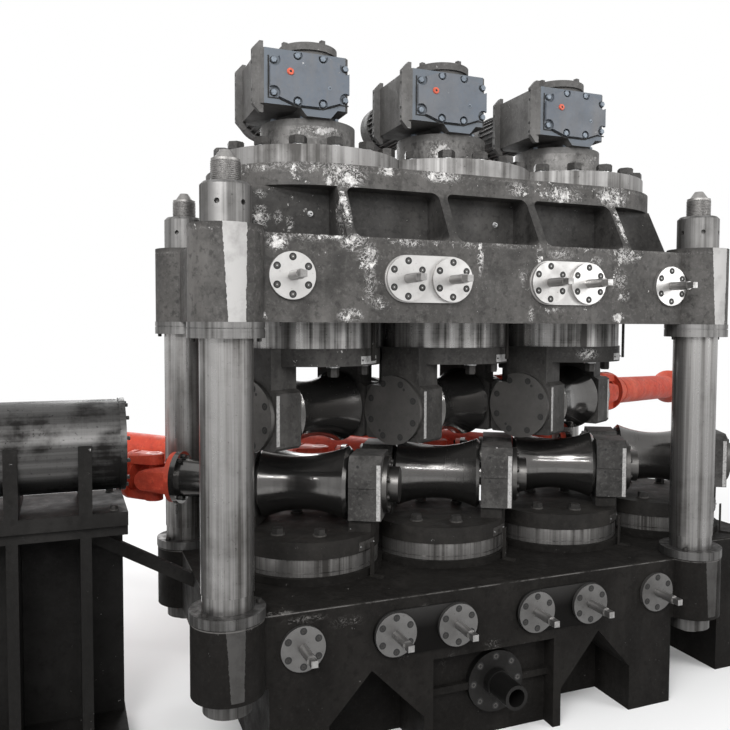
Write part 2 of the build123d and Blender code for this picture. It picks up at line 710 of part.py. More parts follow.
# Finned motors behind the gear units
with BuildPart() as motors:
    middles = [(head_x(place) + MOTOR_X, GEAR_BOTTOM + MOTOR_Z) for place in UPPER_HEADS]
    with BuildSketch(Plane.XZ.offset(-GEAR_BACK)):
        with Locations(*middles):
            Circle(MOTOR_FLANGE_R)
    extrude(amount=-MOTOR_FLANGE_T)
    with BuildSketch(Plane.XZ.offset(-GEAR_BACK)):
        for middle in middles:
            with Locations(middle):
                Circle(MOTOR_R)
                with PolarLocations(MOTOR_R, MOTOR_FINS):
                    Rectangle(2 * MOTOR_FIN_PROUD, MOTOR_FIN_T)
    extrude(amount=-MOTOR_L)
    with BuildSketch(Plane.XZ.offset(-GEAR_BACK - MOTOR_L + MOTOR_COWL_L)):
        with Locations(*middles):
            Circle(MOTOR_COWL_R)
    extrude(amount=-MOTOR_COWL_L)
    with BuildSketch(Plane.XY.offset(GEAR_BOTTOM + MOTOR_Z)):
        box_y = GEAR_BACK + (MOTOR_FLANGE_T + MOTOR_L - MOTOR_COWL_L) / 2
        with Locations(*[(x, box_y) for x, z in middles]):
            Rectangle(MOTOR_BOX, MOTOR_BOX)
    extrude(amount=MOTOR_R + MOTOR_BOX_PROUD)
save(motors.part, "motors")

# Plates behind neighbouring setting flanges
with BuildPart() as setter_plates:
    for face in (-1, 1):
        with BuildSketch(Plane.XZ.offset(-face * BAND_Y)):
            for reach, height in ((UPPER_SETTER_X, UPPER_SETTER_Z), (LOWER_SETTER_X, LOWER_SETTER_Z)):
                with Locations(*[(HEAD_SHIFT + side * HEAD_PITCH / 2, height) for side in (-1, 1)]):
                    SlotCenterToCenter(HEAD_PITCH - 2 * reach, 2 * SETTER_PLATE_R)
        extrude(amount=-face * SETTER_PLATE_T)
save(setter_plates.part, "adjuster_plates")

# Setting flanges, front and back
with BuildPart() as setter_flanges:
    for face in (-1, 1):
        for reach, height in ((UPPER_SETTER_X, UPPER_SETTER_Z), (LOWER_SETTER_X, LOWER_SETTER_Z)):
            for place in UPPER_HEADS:
                for side in (-1, 1):
                    paired = place + side in UPPER_HEADS
                    step = SETTER_PLATE_T if paired else 0
                    with BuildSketch(Plane.XZ.offset(-face * (BAND_Y + step))):
                        with Locations((head_x(place) + side * reach, height)):
                            Circle(SETTER_R)
                    extrude(amount=-face * SETTER_T)
save(setter_flanges.part, "adjuster_flanges")

# Setting shafts with their squares, front only
with BuildPart() as setter_shafts:
    for reach, height in ((UPPER_SETTER_X, UPPER_SETTER_Z), (LOWER_SETTER_X, LOWER_SETTER_Z)):
        for place in UPPER_HEADS:
            for side in (-1, 1):
                paired = place + side in UPPER_HEADS
                front = BAND_Y + SETTER_T + (SETTER_PLATE_T if paired else 0)
                with BuildSketch(Plane.XZ.offset(front)):
                    with Locations((head_x(place) + side * reach, height)):
                        Circle(SETTER_SHAFT_R)
                extrude(amount=SETTER_SHAFT_L)
                with BuildSketch(Plane.XZ.offset(front + SETTER_SHAFT_L)):
                    with Locations((head_x(place) + side * reach, height)):
                        Rectangle(SETTER_SQUARE, SETTER_SQUARE)
                extrude(amount=SETTER_SQUARE_L)
save(setter_shafts.part, "adjuster_shafts")

# Lift drive input low on the front
with BuildPart() as lift_flange:
    with BuildSketch(Plane.XZ.offset(BAND_Y - BASE_RECESS)):
        with Locations((LIFT_X, LIFT_Z)):
            Circle(LIFT_R)
    extrude(amount=LIFT_T)
save(lift_flange.part, "lift_drive_flange")

with BuildPart() as lift_shaft:
    with BuildSketch(Plane.XZ.offset(BAND_Y - BASE_RECESS + LIFT_T)):
        with Locations((LIFT_X, LIFT_Z)):
            Circle(LIFT_COLLAR_R)
    extrude(amount=LIFT_COLLAR_L)
    with BuildSketch(Plane.XZ.offset(BAND_Y - BASE_RECESS + LIFT_T)):
        with Locations((LIFT_X, LIFT_Z)):
            Circle(LIFT_SHAFT_R)
    extrude(amount=LIFT_SHAFT_L)
    with BuildSketch(Plane.XZ.offset(BAND_Y - BASE_RECESS + LIFT_T + LIFT_SHAFT_L)):
        with Locations((LIFT_X, LIFT_Z)):
            Circle(LIFT_BORE_R)
    extrude(amount=-LIFT_BORE_L, mode=Mode.SUBTRACT)
save(lift_shaft.part, "lift_drive_shaft")

# Turntables under the lower rolls
with BuildPart() as table_rings:
    with BuildSketch(Plane.XY.offset(BASE_TOP + SEAT_H)):
        with Locations(*[(head_x(place), 0) for place in LOWER_HEADS]):
            Circle(TABLE_RING_R)
    extrude(amount=TABLE_RING_H)
    with BuildSketch(Plane.XY.offset(BASE_TOP + SEAT_H + TABLE_GROOVE_Z)):
        with Locations(*[(head_x(place), 0) for place in LOWER_HEADS]):
            Circle(TABLE_RING_R)
            Circle(TABLE_RING_R - TABLE_GROOVE_DEPTH, mode=Mode.SUBTRACT)
    extrude(amount=TABLE_GROOVE_H, mode=Mode.SUBTRACT)
save(table_rings.part, "turntable_rings")

with BuildPart() as tables:
    with BuildSketch(Plane.XY.offset(TABLE_PLATE_BOTTOM)):
        with Locations(*[(head_x(place), 0) for place in LOWER_HEADS]):
            Circle(TABLE_PLATE_R)
    extrude(amount=TABLE_PLATE_H)
    # steps under the bearing blocks, kept within the round of each plate
    with BuildSketch(Plane.XY.offset(TABLE_PLATE_TOP)):
        for place in LOWER_HEADS:
            for side in (-1, 1):
                step = Vector(head_x(place), 0) + LOWER_DRIVE * side * (BLOCK_START + PEDESTAL_STEP_L / 2)
                with Locations(Location((step.X, step.Y), -ROLL_SKEW)):
                    Rectangle(PEDESTAL_STEP_L, 2 * PEDESTAL_HALF_W)
        with Locations(*[(head_x(place), 0) for place in LOWER_HEADS]):
            Circle(TABLE_PLATE_R, mode=Mode.INTERSECT)
    extrude(amount=LOWER_BLOCK_BOTTOM - TABLE_PLATE_TOP)
save(tables.part, "turntable_plates")

# Bearing blocks of the lower rolls
with BuildPart() as blocks:
    for place in LOWER_HEADS:
        axis_point = Vector(head_x(place), 0, LOWER_AXIS_Z)
        for side in (-1, 1):
            inner = axis_point + LOWER_DRIVE * side * BLOCK_START
            with BuildSketch(across(inner, LOWER_DRIVE * side)):
                with BuildLine():
                    Polyline(
                        (-BLOCK_HALF_W, -BLOCK_HALF_H),
                        (-BLOCK_HALF_W, BLOCK_HALF_H - BLOCK_CHAMFER),
                        (-BLOCK_HALF_W + BLOCK_CHAMFER, BLOCK_HALF_H),
                        (BLOCK_HALF_W - BLOCK_CHAMFER, BLOCK_HALF_H),
                        (BLOCK_HALF_W, BLOCK_HALF_H - BLOCK_CHAMFER),
                        (BLOCK_HALF_W, -BLOCK_HALF_H),
                        close=True,
                    )
                make_face()
                Circle(NECK_R + NECK_RUN, mode=Mode.SUBTRACT)
                # parting line of the cap at mid-height
                with Locations((-BLOCK_HALF_W, 0), (BLOCK_HALF_W, 0)):
                    Rectangle(2 * BLOCK_SPLIT_DEPTH, BLOCK_SPLIT_W, mode=Mode.SUBTRACT)
            extrude(amount=BLOCK_L)
save(blocks.part, "lower_bearing_blocks")

# End covers of the lower blocks, open on the drive side
with BuildPart() as lower_covers:
    for place in LOWER_HEADS:
        axis_point = Vector(head_x(place), 0, LOWER_AXIS_Z)
        with BuildSketch(across(axis_point + LOWER_DRIVE * BLOCK_END, LOWER_DRIVE)):
            Circle(LOWER_COVER_R)
            Circle(NECK_R + COVER_CLEAR, mode=Mode.SUBTRACT)
        extrude(amount=COVER_T)
        with BuildSketch(across(axis_point - LOWER_DRIVE * BLOCK_END, LOWER_DRIVE)):
            Circle(LOWER_COVER_R)
        extrude(amount=-COVER_T)
        with BuildSketch(across(axis_point - LOWER_DRIVE * BLOCK_END, LOWER_DRIVE)):
            Circle(LOWER_CAP_R)
        extrude(amount=-LOWER_CAP_L)
save(lower_covers.part, "lower_bearing_covers")

# Angle pointers beside the turntables and below the crown
with BuildPart() as pointers:
    toward = bearing_vector(POINTER_BEARING)
    for place in LOWER_HEADS:
        foot = Vector(head_x(place), 0, BASE_TOP) + toward * (SEAT_R + POINTER_GAP)
        with BuildSketch(Plane(origin=foot, x_dir=toward, z_dir=UP)):
            with Locations((POINTER_FOOT / 2, 0)):
                Rectangle(POINTER_FOOT, POINTER_W)
        extrude(amount=POINTER_T)
        with BuildSketch(Plane(origin=foot, x_dir=toward, z_dir=UP)):
            with Locations((POINTER_T / 2, 0)):
                Rectangle(POINTER_T, POINTER_W)
        extrude(amount=LOWER_POINTER_H)
    for place in UPPER_HEADS:
        foot = Vector(head_x(place), 0, CROWN_BOTTOM) + toward * (HEAD_PLATE_R + UPPER_POINTER_GAP)
        with BuildSketch(Plane(origin=foot, x_dir=toward, z_dir=UP)):
            with Locations((POINTER_T / 2, 0)):
                Rectangle(POINTER_T, POINTER_W)
        extrude(amount=-UPPER_POINTER_H)
save(pointers.part, "pointers")

# Entry guide sleeve
with BuildPart() as guide:
    with BuildSketch(Plane.YZ.offset(GUIDE_LEFT)):
        with Locations((0, GUIDE_Z)):
            Circle(GUIDE_R)
    extrude(amount=GUIDE_L)
    with BuildSketch(Plane.YZ.offset(GUIDE_LEFT)):
        with Locations((0, GUIDE_Z)):
            Circle(GUIDE_RING_R)
    extrude(amount=GUIDE_RING_W)
    with BuildSketch(Plane.YZ.offset(GUIDE_RIGHT)):
        with Locations((0, GUIDE_Z)):
            Circle(GUIDE_RING_R)
    extrude(amount=-GUIDE_RING_W)
    with BuildSketch(Plane.YZ.offset(GUIDE_LEFT)):
        with Locations((0, GUIDE_Z)):
            Circle(GUIDE_BORE_R)
    extrude(amount=GUIDE_L, mode=Mode.SUBTRACT)
save(guide.part, "entry_guide_sleeve")

# Cradle of the entry guide
with BuildPart() as cradle:
    with BuildSketch(Plane.XY.offset(CRADLE_PLATE_TOP - CRADLE_PLATE_H)):
        with Locations((GUIDE_MIDDLE, CRADLE_MIDDLE_Y)):
            Rectangle(GUIDE_L, CRADLE_BACK + CRADLE_FRONT)
    extrude(amount=CRADLE_PLATE_H)
    for side in (-1, 1):
        with BuildSketch(Plane.YZ.offset(GUIDE_MIDDLE + side * CRADLE_RIB_X)):
            with Locations((0, (CRADLE_PLATE_TOP + CRADLE_TOP) / 2)):
                Rectangle(2 * CRADLE_HALF_W, CRADLE_TOP - CRADLE_PLATE_TOP)
            with Locations((0, GUIDE_Z)):
                Circle(GUIDE_R + FIT_GAP, mode=Mode.SUBTRACT)
            with Locations((0, GUIDE_Z + GUIDE_R)):
                Rectangle(2 * (GUIDE_R + FIT_GAP), 2 * GUIDE_R, mode=Mode.SUBTRACT)
        extrude(amount=CRADLE_RIB_T / 2, both=True)
save(cradle.part, "entry_guide_cradle")

# Stand of the entry guide
with BuildPart() as stand:
    with BuildSketch():
        with Locations((GUIDE_MIDDLE, STAND_MIDDLE_Y)):
            Rectangle(GUIDE_L, STAND_RIB_BACK + STAND_RIB_FRONT)
    extrude(amount=STAND_FOOT_H)
    with BuildSketch(Plane.XY.offset(STAND_TOP - STAND_BEAM_H)):
        with Locations((GUIDE_MIDDLE, STAND_MIDDLE_Y)):
            Rectangle(GUIDE_L, STAND_RIB_BACK + STAND_RIB_FRONT)
    extrude(amount=STAND_BEAM_H)
    with BuildSketch(Plane.XZ.offset(-STAND_WEB_FRONT)):
        with Locations((GUIDE_MIDDLE, (STAND_TOP - STAND_BEAM_H) / 2)):
            Rectangle(GUIDE_L - 2 * STAND_WEB_INSET, STAND_TOP - STAND_BEAM_H)
    extrude(amount=-STAND_WEB_T)
    with BuildSketch():
        with Locations(*[
            (GUIDE_MIDDLE + side * CRADLE_RIB_X, STAND_MIDDLE_Y)
            for side in (-1, 1)
        ]):
            Rectangle(STAND_RIB_T, STAND_RIB_BACK + STAND_RIB_FRONT)
    extrude(amount=STAND_TOP)
save(stand.part, "entry_stand")

# Brace from the stand down to the base
with BuildPart() as brace:
    brace_left = GUIDE_MIDDLE + CRADLE_RIB_X + STAND_RIB_T / 2
    with BuildSketch(Plane.XZ.offset(-STAND_WEB_FRONT)):
        with BuildLine():
            Polyline(
                (brace_left, BRACE_STAND_Z - BRACE_W / 2),
                (brace_left, BRACE_STAND_Z + BRACE_W / 2),
                (-BAND_X, BRACE_BASE_Z + BRACE_W / 2),
                (-BAND_X, BRACE_BASE_Z - BRACE_W / 2),
                close=True,
            )
        make_face()
    extrude(amount=BRACE_T)
save(brace.part, "entry_brace")

# Upper heads
for place in UPPER_HEADS:
    number = place + 2
    axis_point = Vector(head_x(place), 0, UPPER_AXIS_Z)

    with BuildPart() as head_sleeve:
        with BuildSketch(Plane.XY.offset(HEAD_PLATE_TOP)):
            with Locations((head_x(place), 0)):
                Circle(HEAD_SLEEVE_R)
        extrude(amount=HEAD_SLEEVE_TOP - HEAD_PLATE_TOP)
        with BuildSketch(Plane.XY.offset(HEAD_SLEEVE_TOP)):
            with Locations((head_x(place), 0)):
                Circle(SCREW_R)
        extrude(amount=SCREW_TOP - HEAD_SLEEVE_TOP)
    save(head_sleeve.part, f"head_sleeve_{number}")

    with BuildPart() as head_yoke:
        # arms: a neck under the sleeve, widening to the bearing housing
        for side in (-1, 1):
            inner = axis_point + UPPER_DRIVE * side * BLOCK_START
            with BuildSketch(across(inner, UPPER_DRIVE * side)):
                with BuildLine():
                    Polyline(
                        (-ARM_NECK_HALF_W, ARM_RISE),
                        (-ARM_NECK_HALF_W, ARM_HOUSING_RISE + ARM_SHOULDER),
                        (-ARM_HOUSING_HALF_W, ARM_HOUSING_RISE),
                        (-ARM_HOUSING_HALF_W, ARM_CORNER - ARM_DROP),
                        (ARM_CORNER - ARM_HOUSING_HALF_W, -ARM_DROP),
                        (ARM_HOUSING_HALF_W - ARM_CORNER, -ARM_DROP),
                        (ARM_HOUSING_HALF_W, ARM_CORNER - ARM_DROP),
                        (ARM_HOUSING_HALF_W, ARM_HOUSING_RISE),
                        (ARM_NECK_HALF_W, ARM_HOUSING_RISE + ARM_SHOULDER),
                        (ARM_NECK_HALF_W, ARM_RISE),
                        close=True,
                    )
                make_face()
                Circle(NECK_R + NECK_RUN, mode=Mode.SUBTRACT)
            extrude(amount=BLOCK_L)
        # room for the plates of the neighbouring heads as they travel
        with BuildSketch(Plane.XY.offset(HEAD_RELIEF_Z)):
            with Locations(*[(head_x(place + side), 0) for side in (-1, 1)]):
                Circle(HEAD_PLATE_R + HEAD_CLEAR)
        extrude(amount=HEAD_PLATE_TOP - HEAD_RELIEF_Z, mode=Mode.SUBTRACT)
        with BuildSketch(Plane.XY.offset(HEAD_PLATE_TOP - HEAD_PLATE_H)):
            with Locations((head_x(place), 0)):
                Circle(HEAD_PLATE_R)
        extrude(amount=HEAD_PLATE_H)
    save(head_yoke.part, f"head_yoke_{number}")

    with BuildPart() as head_covers:
        with BuildSketch(across(axis_point + UPPER_DRIVE * BLOCK_END, UPPER_DRIVE)):
            Circle(UPPER_COVER_R)
            Circle(NECK_R + COVER_CLEAR, mode=Mode.SUBTRACT)
        extrude(amount=COVER_T)
        with BuildSketch(across(axis_point - UPPER_DRIVE * BLOCK_END, UPPER_DRIVE)):
            Circle(UPPER_COVER_R)
        extrude(amount=-COVER_T)
        with BuildSketch(Plane.XY.offset(HEAD_RELIEF_Z)):
            with Locations(*[(head_x(place + side), 0) for side in (-1, 1)]):
                Circle(HEAD_PLATE_R + HEAD_CLEAR)
        extrude(amount=HEAD_PLATE_TOP - HEAD_RELIEF_Z, mode=Mode.SUBTRACT)
    save(head_covers.part, f"head_covers_{number}")

# Concave rolls along X with the joint side ahead, the first one on a longer hub
rolls = {}
for reach in (JOINT_CENTRE, FIRST_JOINT_CENTRE):
    face = reach - YOKE_L
    with BuildPart() as roll:
        with BuildSketch(Plane.XZ):
            with BuildLine():
                Polyline(
                    (BARREL_HALF, BARREL_R),
                    (LIP_HALF, LIP_R),
                    (LIP_HALF, NECK_R),
                    (HUB_START, NECK_R),
                    (HUB_START, HUB_R),
                    (face - COMPANION_T, HUB_R),
                    (face - COMPANION_T, COMPANION_R),
                    (face, COMPANION_R),
                    (face, 0),
                    (-NECK_END, 0),
                    (-NECK_END, NECK_R),
                    (-LIP_HALF, NECK_R),
                    (-LIP_HALF, LIP_R),
                    (-BARREL_HALF, BARREL_R),
                )
                ThreePointArc((-BARREL_HALF, BARREL_R), (0, THROAT_R), (BARREL_HALF, BARREL_R))
            make_face()
        revolve(axis=Axis.X)
    rolls[reach] = roll.part

# Flange yoke of the roll, its ears level and the joint centre at the origin
with BuildPart() as yoke:
    with BuildSketch(Plane.XZ):
        with BuildLine():
            Polyline(
                (0, EAR_R),
                (-ARM_FOOT, ARM_FOOT_HALF),
                (-ARM_FOOT, -ARM_FOOT_HALF),
                (0, -EAR_R),
                close=True,
            )
        make_face()
        Circle(EAR_R)
    extrude(amount=EAR_OUTER, both=True)
    with BuildSketch(Plane.XZ):
        Rectangle(4 * YOKE_L, 4 * YOKE_L)
    extrude(amount=EAR_INNER, both=True, mode=Mode.SUBTRACT)
    with BuildSketch(Plane.YZ.offset(-YOKE_L)):
        Circle(YOKE_R)
    extrude(amount=YOKE_FLANGE_T)
    with BuildSketch(Plane.YZ.offset(-ARM_FOOT)):
        Circle(YOKE_HUB_R)
    extrude(amount=YOKE_HUB_T)
    with BuildSketch(Plane.YZ.offset(-YOKE_L)):
        Circle(YOKE_R)
    extrude(amount=YOKE_L + EAR_R, mode=Mode.INTERSECT)
    # round seats in the ears for the cross pins of the shaft
    Sphere(JOINT_BALL_R, mode=Mode.SUBTRACT)

# Cardan shaft along X from its joint centre: yoke, tube with slip seam, far yoke
with BuildPart() as cardan:
    for centre, ahead in ((0, 1), (SHAFT_L, -1)):
        with BuildSketch(Plane.XY):
            with BuildLine():
                Polyline(
                    (centre, SHAFT_EAR_R),
                    (centre + ahead * ARM_FOOT, ARM_FOOT_HALF),
                    (centre + ahead * ARM_FOOT, -ARM_FOOT_HALF),
                    (centre, -SHAFT_EAR_R),
                    close=True,
                )
            make_face()
            with Locations((centre, 0)):
                Circle(SHAFT_EAR_R)
        extrude(amount=EAR_OUTER, both=True)
        with BuildSketch(Plane.XY):
            with Locations((centre, 0)):
                Rectangle(4 * YOKE_L, 4 * YOKE_L)
        extrude(amount=EAR_INNER, both=True, mode=Mode.SUBTRACT)
    with BuildSketch(Plane.XZ):
        with BuildLine():
            Polyline(
                (ARM_FOOT - YOKE_HUB_T, 0),
                (ARM_FOOT - YOKE_HUB_T, YOKE_HUB_R),
                (ARM_FOOT, YOKE_HUB_R),
                (ARM_FOOT, SHAFT_YOKE_R),
                (ARM_FOOT + YOKE_BASE_T, SHAFT_YOKE_R),
                (ARM_FOOT + YOKE_BASE_T + SHAFT_CONE_L, SHAFT_TUBE_R),
                (SHAFT_SEAM, SHAFT_TUBE_R),
                (SHAFT_SEAM, SHAFT_TUBE_R - SHAFT_SEAM_DEPTH),
                (SHAFT_SEAM + SHAFT_SEAM_W, SHAFT_TUBE_R - SHAFT_SEAM_DEPTH),
                (SHAFT_SEAM + SHAFT_SEAM_W, SHAFT_TUBE_R),
                (SHAFT_L - ARM_FOOT - YOKE_BASE_T - SHAFT_CONE_L, SHAFT_TUBE_R),
                (SHAFT_L - ARM_FOOT - YOKE_BASE_T, SHAFT_YOKE_R),
                (SHAFT_L - ARM_FOOT, SHAFT_YOKE_R),
                (SHAFT_L - ARM_FOOT, YOKE_HUB_R),
                (SHAFT_L - ARM_FOOT + YOKE_HUB_T, YOKE_HUB_R),
                (SHAFT_L - ARM_FOOT + YOKE_HUB_T, 0),
                close=True,
            )
        make_face()
    revolve(axis=Axis.X)
    # trim the arms to the round of the yokes
    with BuildSketch(Plane.YZ.offset(-SHAFT_EAR_R)):
        Circle(SHAFT_YOKE_R)
    extrude(amount=SHAFT_L + 2 * SHAFT_EAR_R, mode=Mode.INTERSECT)
    # far flange yoke, its ears level
    add(upright(Vector(SHAFT_L, 0, 0), Vector(-1, 0, 0)).location * yoke.part)
    # near cross: pins through this shaft's own ears, domed ones in the seats of the roll's yoke
    with BuildSketch(Plane.XY):
        Circle(CROSS_PIN_R)
    extrude(amount=EAR_OUTER - CAP_DEPTH, both=True)
    with BuildSketch(Plane.XY):
        with BuildLine():
            ThreePointArc((CROSS_PIN_R, -DOME_START), (DOME_MID, -DOME_MID_Y), (0, -DOME_R))
            ThreePointArc((CROSS_PIN_R, DOME_START), (DOME_MID, DOME_MID_Y), (0, DOME_R))
            Line((0, -DOME_R), (0, DOME_R))
            Line((CROSS_PIN_R, -DOME_START), (CROSS_PIN_R, DOME_START))
        make_face()
    revolve(axis=Axis.Y)
    with BuildSketch(Plane.YZ):
        Circle(CROSS_CORE_R)
    extrude(amount=CROSS_CORE_HALF, both=True)
    # far cross, with all its pins in place
    with BuildSketch(Plane.XY):
        with Locations((SHAFT_L, 0)):
            Circle(CROSS_PIN_R)
    extrude(amount=EAR_OUTER - CAP_DEPTH, both=True)
    with BuildSketch(Plane.XZ):
        with Locations((SHAFT_L, 0)):
            Circle(CROSS_PIN_R)
    extrude(amount=EAR_OUTER - CAP_DEPTH, both=True)
    with BuildSketch(Plane.YZ.offset(SHAFT_L)):
        Circle(CROSS_CORE_R)
    extrude(amount=CROSS_CORE_HALF, both=True)

# Rolls, yokes and shafts at their stations
STATIONS = [
    (f"lower_{place + 2}", Vector(head_x(place), 0, LOWER_AXIS_Z), LOWER_DRIVE, LOWER_LEAD)
    for place in LOWER_HEADS
] + [
    (f"upper_{place + 2}", Vector(head_x(place), 0, UPPER_AXIS_Z), UPPER_DRIVE, UPPER_LEADS[place])
    for place in UPPER_HEADS
]
for name, middle, drive, lead in STATIONS:
    reach = FIRST_JOINT_CENTRE if name == "lower_1" else JOINT_CENTRE
    joint = middle + drive * reach
    save(upright(middle, drive).location * rolls[reach], f"roll_{name}")
    save(upright(joint, drive).location * yoke.part, f"yoke_{name}")
    save(upright(joint, lead).location * cardan.part, f"cardan_{name}")
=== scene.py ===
"""Looks of the seven-roll straightening machine: materials, small fasteners and light.

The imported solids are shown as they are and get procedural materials. Bolts, screws,
threads, rivets and plates are added on the bodies that carry them. Metres, +Z up.
"""
import json
from math import cos, radians, sin

import bmesh
import bpy
from mathutils import Matrix, Vector


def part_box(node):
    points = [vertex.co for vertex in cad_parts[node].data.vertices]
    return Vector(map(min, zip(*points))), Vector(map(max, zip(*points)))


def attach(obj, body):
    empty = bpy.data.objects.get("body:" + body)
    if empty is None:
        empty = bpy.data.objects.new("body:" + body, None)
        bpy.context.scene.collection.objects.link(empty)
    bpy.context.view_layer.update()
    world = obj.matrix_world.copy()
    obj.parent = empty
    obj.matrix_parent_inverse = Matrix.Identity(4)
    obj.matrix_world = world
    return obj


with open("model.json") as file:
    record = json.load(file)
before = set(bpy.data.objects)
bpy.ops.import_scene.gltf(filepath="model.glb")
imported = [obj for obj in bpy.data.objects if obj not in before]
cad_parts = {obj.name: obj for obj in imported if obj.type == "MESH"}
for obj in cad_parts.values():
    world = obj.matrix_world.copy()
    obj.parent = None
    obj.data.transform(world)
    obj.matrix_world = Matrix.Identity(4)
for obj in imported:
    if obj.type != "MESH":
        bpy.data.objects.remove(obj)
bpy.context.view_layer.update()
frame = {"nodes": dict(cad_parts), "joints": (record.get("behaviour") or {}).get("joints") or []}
NODES = frame["nodes"]

# Places that the solids share with their source
HEAD_SHIFT = 0.017
HEAD_PITCH = 0.668
UPPER_HEADS = (-1, 0, 1)
LOWER_HEADS = (-1, 0, 1, 2)
LOWER_AXIS_Z = 1.069
UPPER_AXIS_Z = 1.405
ROLL_SKEW = 30.0
COLUMN_X = 1.124
COLUMN_Y = 0.5325
COLUMNS = [(x, y) for x in (-COLUMN_X, COLUMN_X) for y in (-COLUMN_Y, COLUMN_Y)]
BOSS_R = 0.1395
BAND_Y = 0.5735
CROWN_BOTTOM = 1.801
UP = Vector((0, 0, 1))
FRONT = Vector((0, -1, 0))
BACK = Vector((0, 1, 0))
LEFT = Vector((-1, 0, 0))
RIGHT = Vector((1, 0, 0))


def head_x(place):
    """Where a roll station stands along the pass line."""
    return HEAD_SHIFT + place * HEAD_PITCH


def level_vector(angle):
    """Level unit vector at a plan angle from +X, in degrees."""
    return Vector((cos(radians(angle)), sin(radians(angle)), 0))


LOWER_DRIVE = level_vector(180 - ROLL_SKEW)
UPPER_DRIVE = level_vector(ROLL_SKEW)
ROWS = (
    ("lower", LOWER_HEADS, LOWER_AXIS_Z, LOWER_DRIVE),
    ("upper", UPPER_HEADS, UPPER_AXIS_Z, UPPER_DRIVE),
)


# Shader helpers

def new_group(name, inputs, outputs):
    """Node group with the given sockets: {name: (kind, default)} in, {name: kind} out."""
    tree = bpy.data.node_groups.new(name, "ShaderNodeTree")
    for label, (kind, default) in inputs.items():
        socket = tree.interface.new_socket(label, in_out="INPUT", socket_type=f"NodeSocket{kind}")
        socket.default_value = default
    for label, kind in outputs.items():
        tree.interface.new_socket(label, in_out="OUTPUT", socket_type=f"NodeSocket{kind}")
    given = tree.nodes.new("NodeGroupInput")
    made = tree.nodes.new("NodeGroupOutput")
    return tree, given.outputs, made.inputs


def join(tree, value, socket):
    """Link a socket, or write a plain value, into another socket."""
    if isinstance(value, bpy.types.NodeSocket):
        tree.links.new(value, socket)
    else:
        socket.default_value = value


def node(tree, kind, inputs, output=0, **settings):
    """New node with its settings and inputs; returns one of its outputs."""
    made = tree.nodes.new(kind)
    for label, value in settings.items():
        setattr(made, label, value)
    for label, value in inputs.items():
        join(tree, value, made.inputs[label])
    return made.outputs[output]


def maths(tree, operation, *values, clamp=False):
    """Result of a math node."""
    given = dict(enumerate(values))
    return node(tree, "ShaderNodeMath", given, operation=operation, use_clamp=clamp)


def plus(tree, one, other, clamp=False):
    """Sum of two values."""
    return maths(tree, "ADD", one, other, clamp=clamp)


def times(tree, one, other):
    """Product of two values."""
    return maths(tree, "MULTIPLY", one, other)


def apart(tree, one, other):
    """How far two values lie apart."""
    return maths(tree, "ABSOLUTE", maths(tree, "SUBTRACT", one, other))


def vectors(tree, operation, *values):
    """Vector result of a vector math node, or its value for a dot product or a length."""
    labels = (0, "Scale") if operation == "SCALE" else (0, 1)
    output = "Value" if operation in ("DOT_PRODUCT", "LENGTH") else "Vector"
    given = dict(zip(labels, values))
    return node(tree, "ShaderNodeVectorMath", given, output, operation=operation)


def split(tree, vector):
    """X, Y and Z of a vector."""
    parts = tree.nodes.new("ShaderNodeSeparateXYZ")
    tree.links.new(vector, parts.inputs[0])
    return parts.outputs


def noise(tree, vector, scale, detail=4.0, rough=0.55, swirl=0.0):
    """Factor of a 3D noise texture."""
    return node(tree, "ShaderNodeTexNoise", {
        "Vector": vector, "Scale": scale, "Detail": detail, "Roughness": rough, "Distortion": swirl,
    }, "Fac")


def ramp(tree, value, low, high, to_low=0.0, to_high=1.0):
    """Clamped straight-line change of a value from one range to another."""
    given = dict(enumerate((value, low, high, to_low, to_high)))
    return node(tree, "ShaderNodeMapRange", given, clamp=True)


def mix(tree, factor, first, second):
    """Mix of two colours."""
    return node(tree, "ShaderNodeMix", {0: factor, 6: first, 7: second}, 2, data_type="RGBA")


def object_point(tree):
    """Object coordinates of the shaded point."""
    return tree.nodes.new("ShaderNodeTexCoord").outputs["Object"]


def grey(value, warm=0.0):
    """Slightly warm or cold grey as RGBA."""
    return (value * (1 + warm), value, value * (1 - warm), 1.0)


def darker(color, share):
    """A colour at a share of its brightness."""
    return tuple(share * part for part in color[:3]) + (1.0,)


# Effects that several finishes share

# Painted shade: colours darken towards the floor between these two heights
SHADE_TOP = 1.75
SHADE_FULL = 0.55
FADE_BLACK = grey(0.0035, 0.1)
NO_EDGE = -1.0
FLAKE_REACH = 0.030
WORN_LINE_W = 0.0035
PATCH_SHARE = 0.86
STRIP_WOBBLE = 0.012
STRIP_DEPTH = 0.85


def add_painted_shade(tree, point, color, amount):
    """Darken a colour towards the floor: painted shade for the dimmer light low on the machine."""
    low = ramp(tree, split(tree, point)[2], SHADE_FULL, SHADE_TOP, 1.0, 0.0)
    return mix(tree, times(tree, low, amount), color, FADE_BLACK)


